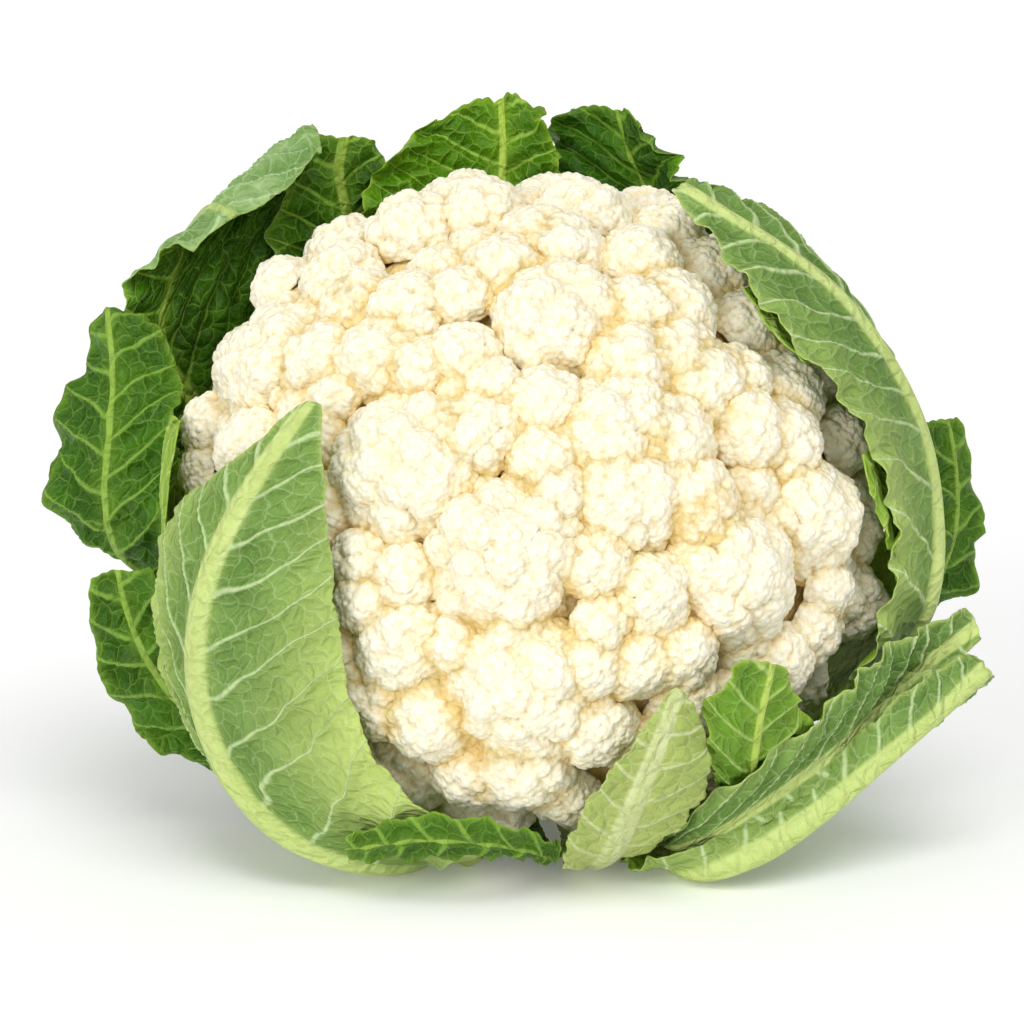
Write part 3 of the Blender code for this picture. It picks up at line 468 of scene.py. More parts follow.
def leaves() -> tuple[Leaf, ...]:
    """Every leaf, from the innermost to the outermost."""
    return (
        Leaf("young_leaf_right_upper", (
            "around 12 0.5 -16, 12 0.8 -8, 13 1.15 -3, 15 1.4 -1; front 66 34 0",
            "around 18 0.5 -16, 19 0.8 -8, 21 1.15 -3, 23 1.4 -1; front 56 45 0",
            "around 24 0.5 -16, 26 0.8 -8, 29 1.15 -3, 32 1.4 -1; front 51 54 0"),
            1, (4, 1, 1.5, 0.5), ruffle=0.3, rows=7),
        Leaf("young_leaf_right_lower", (
            "around 341 0.5 -16, 341 0.8 -8, 343 1.1 -3, 351 1.3 -1",
            "around 348 0.5 -16, 349 0.8 -8, 352 1.1 -3, 357 1.34 -1",
            "around 355 0.5 -16, 357 0.8 -8, 360 1.1 -3, 363 1.28 -1"),
            1, (4, 1, 1.5, 0.5), ruffle=0.3, rows=7),
        Leaf("young_leaf_left", (
            "around 172 0.5 -16, 169 0.8 -8, 167 1.1 -3; front -85 20 0",
            "around 183 0.5 -16, 182 0.8 -8, 181 1.1 -3; front -88 8 0",
            "around 194 0.5 -16, 197 0.8 -8, 197 1.1 -3; front -89 -9 0"),
            1, (4, 1, 1.5, 0.5), ruffle=0.3, rows=7),
        Leaf("leaf_small_dark", (
            "around 289 0.4 -14, 292 0.7 -9; front 47 -73 0, 43 -63 1, 40 -54 1, 39 -49 1, "
                "45 -44 1, 52 -38 1",
            "around 296 0.4 -14, 298 0.7 -9; front 54 -72 0, 54 -63 1, 55 -54 1, 57 -46 1, "
                "59 -39 1",
            "around 303 0.4 -14, 304 0.7 -9; front 65 -70 0, 71 -59 1, 71 -54 1, 65 -50 1, "
                "61 -46 1, 62 -39 1"),
            1, (5, 2, 1.5, 0.6), ruffle=0.6, rows=10),
        Leaf("leaf_top", (
            "around 84 0 1, 75 0.45 1, 74 0.78 2; deep 17 74 -38, 9 83 -38, 3 88 -40, "
                "2 93 -43, 4 99 -45",
            "around 94 0 1, 94 0.45 2, 94 0.78 3; deep -7 78 -42, -6 88 -43, -7 101 -46",
            "around 104 0 1, 114 0.45 2, 117 0.78 3; deep -43 69 -31, -42 79 -33, -33 86 -37, "
                "-24 93 -41"),
            1, (14, 4, 5, 1), ruffle=1.5, waves=3.5),
        Leaf("leaf_top_right", (
            "around 48 0 1, 42 0.45 1, 41 0.8 1; deep 46 62 -16, 40 71 -24, 35 79 -30, "
                "31 86 -36, 29 91 -40",
            "around 58 0 1, 57 0.45 3, 58 0.8 5; deep 29 73 -44, 25 84 -48, 21 98 -50",
            "around 68 0 1, 71 0.45 5, 75 0.78 9; deep 4 75 -58, 0 83 -60, 1 90 -60, 9 97 -57"),
            1, (14, 3, 5, 0.6), ruffle=1.0, waves=2.5),
        Leaf("leaf_top_left_inner", (
            "around 113 0 1, 106 0.45 2, 105 0.78 3; deep -33 73 -38, -38 78 -38, -40 82 -38, "
                "-38 86 -38",
            "around 121 0 1, 121 0.45 2, 121 0.78 3; deep -41 69 -34, -46 76 -35, -45 83 -36, "
                "-44 88 -38",
            "around 129 0 1, 135 0.45 2, 137 0.78 3; deep -59 63 -28, -59 72 -31, -53 82 -34, "
                "-49 89 -37"),
            1, (14, 6, 5, 1.5), ruffle=0.8, waves=3.0),
        Leaf("leaf_top_left_outer", (
            "around 140 0 1, 132 0.45 4, 129 0.8 6; deep -54 62 -32, -52 74 -36, -52 84 -37, "
                "-49 89 -31, -46 85 -23, -48 79 -19",
            "around 145 0 1, 144 0.45 4, 144 0.8 7; deep -77 52 -24, -71 64 -29, -66 74 -31, "
                "-62 79 -25, -59 75 -17, -57 70 -13",
            "around 151 0 1, 154 0.45 4, 156 0.78 8; deep -92 47 -20, -85 57 -24, -79 65 -27, "
                "-75 72 -20, -72 70 -13, -69 67 -9",
            "around 160 0 1, 168 0.45 4, 170 0.78 8; deep -101 37 -16, -101 49 -16, "
                "-99 57 -17, -94 61 -13, -88 62 -7, -83 62 -5"),
            2, (14, 5, 5, 1), ruffle=0.6, waves=3.0, rows=15, columns=4),
        Leaf("leaf_front_left", (
            "around 238 0 1, 240 0.3 2, 236 0.6 3, 227 0.78 4, 216 0.9 4; front -88 -48 4, "
                "-91 -34 4, -92 -18 4, -91 -4 4, -83 3 4, -72 10 4, -63 20 4, -57 24 4",
            "around 247 0 1, 250 0.3 2, 250 0.6 2; front -46 -87 3, -61 -82 4, -71 -72 5, "
                "-78 -59 5, -82 -44 5, -81 -25 5, -74 -5 5, -67 6 4, -60 16 4, -54 25 4",
            "around 256 0 1, 260 0.35 2, 262 0.75 2; front -24 -76 2, -32 -72 2, -39 -63 2, "
                "-45 -48 2, -46 -34 2, -48 -19 2, -51 1 2, -50 14 3, -51 24 4"),
            1, (17, 3, 6, 0.8), ruffle=0.8, waves=5.0, rows=18, columns=4),
        Leaf("leaf_left_lower", (
            "around 200 0 1, 206 0.35 4, 215 0.62 7; deep -79 -67 -20, -92 -60 -18, "
                "-99 -51 -11, -106 -38 -6, -109 -25 -2, -107 -18 0",
            "around 210 0 1, 215 0.35 3, 219 0.62 4; deep -80 -55 -12, -89 -46 -6, "
                "-96 -35 -2, -100 -24 1, -101 -16 2",
            "around 220 0 1, 223 0.35 2, 226 0.62 2; deep -70 -49 -6, -78 -40 0, -86 -31 3, "
                "-91 -23 4, -96 -16 4"),
            1, (12, 4, 4, 0.8), ruffle=0.8, waves=4.0),
        Leaf("leaf_left_upper", (
            "around 172 0 1, 170 0.4 4, 172 0.7 9; deep -111 -14 -22, -118 1 -18, "
                "-120 15 -18, -114 23 -18, -106 33 -18, -103 44 -18",
            "around 181 0 1, 182 0.4 5, 184 0.72 9; deep -104 -12 -12, -104 6 -5, -102 22 -4, "
                "-101 34 -8, -101 47 -14",
            "around 191 0 1, 195 0.4 4, 197 0.74 7; deep -93 -12 -6, -90 5 3, -87 19 2, "
                "-86 30 -4, -89 38 -9, -95 46 -13"),
            1, (13, 3, 5, 1), ruffle=0.8, waves=3.5),
        Leaf("leaf_right_wrap", (
            "around 319 0 1, 318 0.4 1, 326 0.85 2; front 83 -37 2, 88 -25 2, 90 -14 2, "
                "89 1 2, 84 14 2, 76 23 3, 73 32 3, 64 39 3, 56 47 3, 51 55 3, 46 64 3, 39 71 3, "
                "34 76 3",
            "around 326 0 1, 328 0.4 2, 341 0.85 4; front 97 -31 5, 99 -14 5, 99 1 5, "
                "96 18 5, 90 30 5, 81 45 5, 72 55 5, 62 62 5, 49 69 4, 42 74 4, 36 78 4",
            "around 334 0 1, 340 0.4 2, 355 0.8 3, 7 0.88 3, 18 0.93 3, 28 0.98 3, 38 1.05 2, "
                "46 1.15 2, 52 1.3 3; front 38 79 4"),
            1, (12, 3, 4.5, 0.8), ruffle=0.8, waves=6.0, rows=18),
        Leaf("leaf_right", (
            "around 340 0 1, 337 0.4 4, 335 0.75 7; deep 86 -40 2, 94 -28 2, 98 -12 -4, "
                "98 5 -8, 97 20 -12",
            "around 351 0 1, 353 0.4 4, 354 0.72 8; deep 100 -21 -14, 105 -4 -13, 104 11 -14, "
                "102 21 -16",
            "around 360 0 1, 367 0.4 4, 368 0.7 8; deep 107 -31 -26, 112 -15 -23, 108 -3 -20, "
                "111 8 -20, 110 16 -20, 105 22 -20"),
            1, (13, 3, 5, 1), ruffle=1.0, waves=3.5),
        Leaf("leaf_lower_right_inner", (
            "around 284 0 1, 286 0.35 0, 289 0.75 0; front 33 -83 1, 45 -71 1, 56 -62 2, "
                "70 -56 2, 77 -49 3, 80 -39 5, 90 -36 8, 100 -30 11, 108 -27 13",
            "around 289 0 1, 291 0.35 0, 293 0.75 0; front 38 -86 1, 50 -75 1, 61 -67 2, "
                "72 -61 3, 81 -53 4, 89 -46 6, 96 -39 8, 103 -34 11, 110 -30 13",
            "around 295 0 1, 296 0.35 0, 298 0.75 1; front 43 -88 1, 55 -79 2, 68 -69 4, "
                "76 -64 5, 83 -58 6, 89 -51 7, 96 -45 9, 103 -39 12, 111 -33 13"),
            1, (8, 4, 1, 0.3), ruffle=0.3, waves=5.0, rows=14),
        Leaf("leaf_lower_right_outer", (
            "around 299 0 1, 300 0.35 1; front 40 -89 3, 50 -85 3, 58 -80 4, 66 -74 5, "
                "75 -67 7, 82 -59 8, 87 -50 9, 92 -42 10, 100 -35 11",
            "around 307 0 1, 306 0.35 1; front 49 -91 3, 60 -86 4, 71 -78 5, 79 -70 6, "
                "87 -60 7, 93 -51 8, 98 -44 9, 103 -37 11",
            "around 315 0 1, 314 0.35 2, 318 0.6 3, 325 0.75 6, 331 0.84 9; deep 98 -44 4, "
                "105 -39 9"),
            1, (15, 5, 4, 0.3), ruffle=0.3, waves=4.0, rows=13),
        Leaf("leaf_bottom_rolled", (
            "around 259 0 1, 262 0.3 0, 265 0.65 0; front 0 -87 1, -12 -86 3, -24 -86 4, "
                "-36 -86 5, -43 -85 6",
            "around 263 0 1, 266 0.3 0, 269 0.65 0; front 4 -86 1, -7 -83 2, -22 -81 4, "
                "-34 -81 5, -44 -82 6",
            "around 267 0 1, 270 0.3 0, 273 0.65 0; front 7 -83 1, -2 -79 2, -15 -76 2, "
                "-27 -74 3, -38 -76 4, -44 -79 5"),
            1, (5, 2, 1.5, 0.8), ruffle=0.4, rows=12),
        Leaf("leaf_small_pale", (
            "around 270 0 1, 274 0.35 1, 276 0.7 1; front 7 -86 1, 10 -76 2, 15 -69 2, "
                "23 -62 2, 29 -56 2, 34 -46 2",
            "around 275 0 1, 278 0.35 1, 281 0.7 1; front 19 -87 1, 24 -76 2, 29 -65 2, "
                "33 -54 2, 36 -45 2",
            "around 279 0 1, 282 0.35 1, 286 0.7 1; front 29 -86 1, 39 -79 2, 47 -69 2, "
                "46 -64 2, 42 -58 2, 40 -49 2"),
            1, (14, 3, 5, 0.3), ruffle=0.1, rows=11),
    )


@dataclass(frozen=True)
class Growth:
    """How a leaf's blade has grown: its colours, its teeth, its ruffles and its veins.

    Teeth, lobes and frill are each (depth, distance from one to the next), in millimetres.
    """

    tone: Tone = Tone.DARK
    teeth: tuple[float, float] = (1.0, 3.4)
    lobes: tuple[float, float] = (1.6, 13.0)
    frill: tuple[float, float] = (1.2, 15.0)
    pucker: float = 0.8
    pale_base: float = 0.25
    # The rib's width as a share of the CAD's, and how far each edge keeps the young colour.
    rib_share: float = 0.5
    warm: tuple[float, float] = (0.0, 0.0)
    # How far the soft edges have grown past the CAD's, and how far apart the side veins stand.
    wider: tuple[float, float] = (0.0, 0.0)
    vein_step: float = 10.0


GROWTH = {
    "leaf_left_upper": Growth(Tone.DEEP, teeth=(0.7, 3.0), lobes=(0.6, 17.0), frill=(2.4, 24.0),
                              pucker=2.2, pale_base=0.1, rib_share=0.4, wider=(1.0, 4.0)),
    "leaf_left_lower": Growth(Tone.DEEP, teeth=(0.7, 3.0), lobes=(0.6, 15.0), frill=(2.0, 19.0),
                              pucker=2.2, pale_base=0.1, rib_share=0.35, wider=(1.5, 4.0)),
    "leaf_right": Growth(Tone.DEEP, teeth=(0.7, 3.0), lobes=(0.6, 14.0), frill=(2.0, 18.0),
                         pucker=2.0, pale_base=0.1, rib_share=0.35, wider=(4.0, 0.0)),
    "leaf_bottom_rolled": Growth(Tone.DEEP, teeth=(0.7, 3.0), lobes=(0.5, 10.0), frill=(1.6, 11.0),
                                 pucker=1.6, pale_base=0.1, rib_share=0.35),
    "leaf_top_left_outer": Growth(Tone.DARK, teeth=(0.7, 3.0), lobes=(0.8, 16.0), frill=(1.8, 17.0),
                                  pucker=1.9, pale_base=0.1, rib_share=0.5),
    "leaf_top_left_inner": Growth(Tone.DARK, teeth=(0.7, 3.0), lobes=(1.0, 13.0), frill=(2.4, 13.0),
                                  pucker=1.7, pale_base=0.15, rib_share=0.4, wider=(3.0, 3.0)),
    "leaf_front_left": Growth(Tone.BROAD, teeth=(0.6, 2.7), lobes=(0.5, 15.0), frill=(0.7, 19.0),
                              pucker=1.5, pale_base=0.15, rib_share=1.5, warm=(1.0, 1.2),
                              vein_step=14.5),
    "leaf_right_wrap": Growth(Tone.BROAD, teeth=(0.7, 3.0), lobes=(1.0, 17.0), frill=(1.4, 15.0),
                              pucker=1.6, pale_base=0.2, rib_share=1.35, warm=(0.7, 1.0),
                              vein_step=13.0),
    "leaf_small_pale": Growth(Tone.PALE, teeth=(1.0, 2.8), lobes=(0.6, 10.0), frill=(0.8, 13.0),
                              pucker=0.7, pale_base=0.8, rib_share=1.2, warm=(0.2, 0.2)),
    "leaf_small_dark": Growth(Tone.BRIGHT, teeth=(1.1, 3.2), lobes=(0.8, 10.0), frill=(1.6, 12.0),
                              pucker=1.3, pale_base=0.25, rib_share=0.9, warm=(0.1, 1.1)),
    "leaf_lower_right_inner": Growth(Tone.BROAD, teeth=(0.8, 3.0), lobes=(0.6, 12.0),
                                     frill=(1.3, 15.0), pucker=1.3, pale_base=0.3,
                                     rib_share=0.9, warm=(0.3, 0.2), wider=(5.0, 1.0)),
    "leaf_lower_right_outer": Growth(Tone.BROAD, teeth=(0.7, 3.0), lobes=(0.8, 12.0),
                                     frill=(1.5, 13.0), pucker=1.0, pale_base=0.5,
                                     rib_share=1.0, warm=(0.4, 1.0), wider=(7.0, 0.0)),
    "leaf_top": Growth(Tone.BRIGHT, teeth=(1.0, 3.0), lobes=(2.2, 13.0), frill=(3.6, 15.0),
                       pucker=2.2, rib_share=0.35),
    "leaf_top_right": Growth(Tone.DEEP, teeth=(1.0, 3.0), lobes=(1.6, 13.0), frill=(3.2, 15.0),
                             pucker=2.0, rib_share=0.3),
    **dict.fromkeys(("young_leaf_left", "young_leaf_right_upper", "young_leaf_right_lower"),
                    Growth(Tone.BRIGHT, pucker=0.3, pale_base=0.9, frill=(0.8, 9.0),
                           rib_share=0.3, warm=(1.0, 1.0))),
}


def linear(code: str) -> tuple[float, float, float, float]:
    """Turns an sRGB hex value into a linear colour with full alpha."""
    shares = [int(code[i:i + 2], 16) / 255 for i in (1, 3, 5)]
    return (*(c / 12.92 if c <= 0.04045 else ((c + 0.055) / 1.055) ** 2.4 for c in shares), 1.0)


def add_node(tree: bpy.types.NodeTree, kind: str, links: dict | tuple = (),
             **settings: object) -> bpy.types.Node:
    """Adds a node with its settings and links.

    Args:
        tree: The tree that takes the node.
        kind: The node's type name, after ShaderNode.
        links: What each input gets, by its name or number, or in order from the first: an
            output socket, a node that gives its first output, or a constant.
        settings: The node's own properties.

    Returns:
        The new node.
    """
    made = tree.nodes.new("ShaderNode" + kind)
    for key, value in settings.items():
        setattr(made, key, value)
    for key, value in (links if isinstance(links, dict) else dict(enumerate(links))).items():
        if isinstance(value, bpy.types.Node):
            value = value.outputs[0]
        if isinstance(value, bpy.types.NodeSocket):
            tree.links.new(value, made.inputs[key])
        else:
            made.inputs[key].default_value = value
    return made


def start_material(name: str) -> tuple[bpy.types.Material, bpy.types.NodeTree, bpy.types.Node]:
    """A new material, its tree and its Principled shader."""
    material = bpy.data.materials.new(name)
    material.use_nodes = True
    return material, material.node_tree, material.node_tree.nodes["Principled BSDF"]


@dataclass(frozen=True)
class LeafSkin:
    """One face of a cauliflower leaf: waxy skin over green blade, with pale veins.

    The outer face has a bloom of fine wax that greys and softens it; the inner one is glossier
    and fuller in colour. Veins are the paler, water-filled tissue that shows through both.
    """

    name: str
    blade: str
    shade: str
    young: str
    vein: str
    rib: str
    rough: float
    vein_strength: float
    net_strength: float

    # The distance from one side vein to the next, in millimetres, as the vein cycle is read.
    VEIN_STEP = 11.0
    # A side vein's half width far out, what it has more than that at the rib, and how fast it
    # loses that.
    VEIN = (0.1, 0.75, -0.05)
    # The net of fine veins, and the finer one inside it: millimetres, and the lines' share.
    NETS = ((4.2, 0.085), (1.5, 0.12))
    FINE_SHARE = 0.45

    def make(self) -> bpy.types.Material:
        """Builds the material."""
        material, tree, shader = start_material(self.name)
        place = add_node(tree, "Attribute", attribute_name="leaf_place").outputs["Vector"]
        across, along, margin = add_node(tree, "SeparateXYZ", (place,)).outputs
        veins = add_node(tree, "Attribute", attribute_name="leaf_veins").outputs["Vector"]
        phase, rib, growth = add_node(tree, "SeparateXYZ", (veins,)).outputs
        side = add_node(tree, "Math", (across,), operation="ABSOLUTE")
        flat = add_node(tree, "CombineXYZ", (across, along))
        line = self.side_veins(tree, side, phase)
        net, puffs = self.nets(tree, flat)

        patches = add_node(tree, "TexNoise", {"Vector": flat, "Scale": 0.07, "Detail": 3.0},
                           noise_dimensions="2D")
        patches = add_node(tree, "MapRange", (patches, 0.35, 0.65))
        colour = add_node(tree, "Mix", {0: patches, 6: linear(self.blade), 7: linear(self.shade)},
                          data_type="RGBA").outputs[2]
        off_rib = add_node(tree, "Math", (rib, 0.05), operation="MAXIMUM")
        off_rib = add_node(tree, "Math", (side, off_rib), operation="DIVIDE")
        off_rib = add_node(tree, "Math", (side, off_rib), operation="SUBTRACT")
        off_rib = add_node(tree, "Math", (off_rib, 0.0), operation="MAXIMUM")
        near_rib = add_node(tree, "Math", (off_rib, -0.4), operation="MULTIPLY")
        near_rib = add_node(tree, "Math", (near_rib,), operation="EXPONENT")
        near_rib = add_node(tree, "Math", (near_rib, 0.3), operation="MULTIPLY")
        young = add_node(tree, "Math", (growth, near_rib), operation="ADD", use_clamp=True)
        rim = add_node(tree, "Math", (margin, -0.8), operation="MULTIPLY")
        rim = add_node(tree, "Math", (rim,), operation="EXPONENT")
        rim = add_node(tree, "Math", (rim, 0.7), operation="MULTIPLY")
        young = add_node(tree, "Math", (young, rim), operation="MAXIMUM")
        colour = add_node(tree, "Mix", {0: young, 6: colour, 7: linear(self.young)},
                          data_type="RGBA").outputs[2]
        for lines, strength in ((net, self.net_strength), (line, self.vein_strength)):
            share = add_node(tree, "Math", (lines, strength), operation="MULTIPLY")
            colour = add_node(tree, "Mix", {0: share, 6: colour, 7: linear(self.vein)},
                              data_type="RGBA").outputs[2]
        on_rib = add_node(tree, "MapRange", (rib, 1.25, 0.85), interpolation_type="SMOOTHSTEP")
        strands = add_node(tree, "VectorMath", (flat, (0.55, 0.03, 1.0)), operation="MULTIPLY")
        strands = add_node(tree, "TexNoise", {"Vector": strands, "Scale": 1.0, "Detail": 2.0},
                           noise_dimensions="2D")
        fibre = add_node(tree, "Mix", {0: strands, 6: linear(self.rib), 7: linear(self.young)},
                         data_type="RGBA").outputs[2]
        colour = add_node(tree, "Mix", {0: on_rib, 6: colour, 7: fibre},
                          data_type="RGBA").outputs[2]
        tree.links.new(colour, shader.inputs["Base Color"])

        flesh = add_node(tree, "TexNoise", {"Vector": flat, "Scale": 0.9, "Detail": 3.0},
                         noise_dimensions="2D")
        grooves = add_node(tree, "Math", (net, 0.5), operation="MULTIPLY")
        grooves = add_node(tree, "Math", (grooves, line), operation="ADD")
        puffs = add_node(tree, "Math", (puffs, 2.2), operation="MULTIPLY")
        grooves = add_node(tree, "Math", (grooves, puffs), operation="SUBTRACT")
        grooves = add_node(tree, "Math", (grooves, self.relief), operation="MULTIPLY")
        height = add_node(tree, "Math", (grooves, flesh), operation="ADD")
        bump = add_node(tree, "Bump", {"Height": height, "Strength": 0.8, "Distance": 0.0004})
        tree.links.new(bump.outputs[0], shader.inputs["Normal"])
        gloss = add_node(tree, "Math", (flesh, 0.12), operation="MULTIPLY")
        gloss = add_node(tree, "Math", (self.rough, gloss), operation="ADD")
        tree.links.new(gloss.outputs[0], shader.inputs["Roughness"])
        shader.inputs["IOR"].default_value = 1.42
        shader.inputs["Specular IOR Level"].default_value = 0.22
        shader.inputs["Subsurface Weight"].default_value = 0.15
        shader.inputs["Subsurface Radius"].default_value = (0.6, 1.0, 0.25)
        shader.inputs["Subsurface Scale"].default_value = 0.001
        return material

    def side_veins(self, tree: bpy.types.NodeTree, side: bpy.types.Node,
                   phase: bpy.types.NodeSocket) -> bpy.types.Node:
        """The side veins' lines, which thin out away from the rib."""
        far, more, fall = self.VEIN
        off_vein = add_node(tree, "Math", (phase, 0.5), operation="ADD")
        off_vein = add_node(tree, "Math", (off_vein,), operation="FRACT")
        off_vein = add_node(tree, "Math", (off_vein, 0.5), operation="SUBTRACT")
        off_vein = add_node(tree, "Math", (off_vein,), operation="ABSOLUTE")
        off_vein = add_node(tree, "Math", (off_vein, self.VEIN_STEP), operation="MULTIPLY")
        width = add_node(tree, "Math", (side, fall), operation="MULTIPLY")
        width = add_node(tree, "Math", (width,), operation="EXPONENT")
        width = add_node(tree, "Math", (width, more), operation="MULTIPLY")
        width = add_node(tree, "Math", (width, far), operation="ADD")
        line = add_node(tree, "Math", (off_vein, width), operation="DIVIDE")
        return add_node(tree, "Math", (1.45, line), operation="SUBTRACT", use_clamp=True)

    def nets(self, tree: bpy.types.NodeTree, flat: bpy.types.Node) -> tuple:
        """The two nets of fine veins on the flat leaf, and the puffs between the wider one's."""
        wander = add_node(tree, "TexNoise", {"Vector": flat, "Scale": 0.22, "Detail": 2.0},
                          noise_dimensions="2D").outputs["Color"]
        bent = add_node(tree, "VectorMath", (wander, (3.0, 3.0, 0.0)), operation="MULTIPLY")
        bent = add_node(tree, "VectorMath", (flat, bent), operation="ADD")
        cells = [add_node(tree, "TexVoronoi", {"Vector": bent, "Scale": 1 / cell},
                          feature="DISTANCE_TO_EDGE", voronoi_dimensions="2D").outputs["Distance"]
                 for cell, _ in self.NETS]
        wide, fine = (add_node(tree, "MapRange", (distance, 0.0, share, 1.0, 0.0),
                               interpolation_type="SMOOTHSTEP")
                      for distance, (_, share) in zip(cells, self.NETS))
        fine = add_node(tree, "Math", (fine, self.FINE_SHARE), operation="MULTIPLY")
        net = add_node(tree, "Math", (wide, fine), operation="MAXIMUM")
        puffs = add_node(tree, "MapRange", (cells[0], 0.0, 0.4), interpolation_type="SMOOTHSTEP")
        return net, puffs

    @property
    def relief(self) -> float:
        """Veins stand out of the outer face and sink into the inner one."""
        return -0.8 if self.name.endswith("inner_face") else 0.8


SKINS = {
    (Tone.BROAD, Face.OUTER): LeafSkin("broad_leaf_outer_face", "#668F3E", "#4C7729", "#BCCF72",
                                       "#C2D79B", "#CBDB90", 0.44, 0.85, 0.3),
    (Tone.BROAD, Face.INNER): LeafSkin("broad_leaf_inner_face", "#5E8C1C", "#43720C", "#A4C440",
                                       "#AECB64", "#C6D778", 0.36, 0.8, 0.34),
    (Tone.DARK, Face.OUTER): LeafSkin("dark_leaf_outer_face", "#93B272", "#6B9148", "#9CBB64",
                                      "#B8D29A", "#BACD7C", 0.44, 0.75, 0.42),
    (Tone.DARK, Face.INNER): LeafSkin("dark_leaf_inner_face", "#3F700A", "#275203", "#84AA2E",
                                      "#8DB642", "#A9C35A", 0.34, 0.8, 0.46),
    (Tone.DEEP, Face.OUTER): LeafSkin("deep_leaf_outer_face", "#3F6E10", "#275205", "#84AA34",
                                      "#8AB046", "#98B456", 0.36, 0.7, 0.36),
    (Tone.DEEP, Face.INNER): LeafSkin("deep_leaf_inner_face", "#356506", "#1F4802", "#78A228",
                                      "#7EAA34", "#98B44C", 0.34, 0.7, 0.34),
    (Tone.BRIGHT, Face.OUTER): LeafSkin("bright_leaf_outer_face", "#6D9C2A", "#4D7C18", "#A9C64C",
                                        "#B4CF74", "#C0D374", 0.42, 0.75, 0.34),
    (Tone.BRIGHT, Face.INNER): LeafSkin("bright_leaf_inner_face", "#4F8104", "#356602", "#98BC30",
                                        "#9DC24A", "#B9D062", 0.34, 0.8, 0.4),
    (Tone.PALE, Face.OUTER): LeafSkin("pale_leaf_outer_face", "#93AC4C", "#789432", "#BAC774",
                                      "#D3DCA6", "#DBE2B2", 0.42, 0.65, 0.3),
    (Tone.PALE, Face.INNER): LeafSkin("pale_leaf_inner_face", "#98B244", "#7C9A2E", "#BCCB6C",
                                      "#CBD78E", "#D6E09A", 0.38, 0.6, 0.28),
}


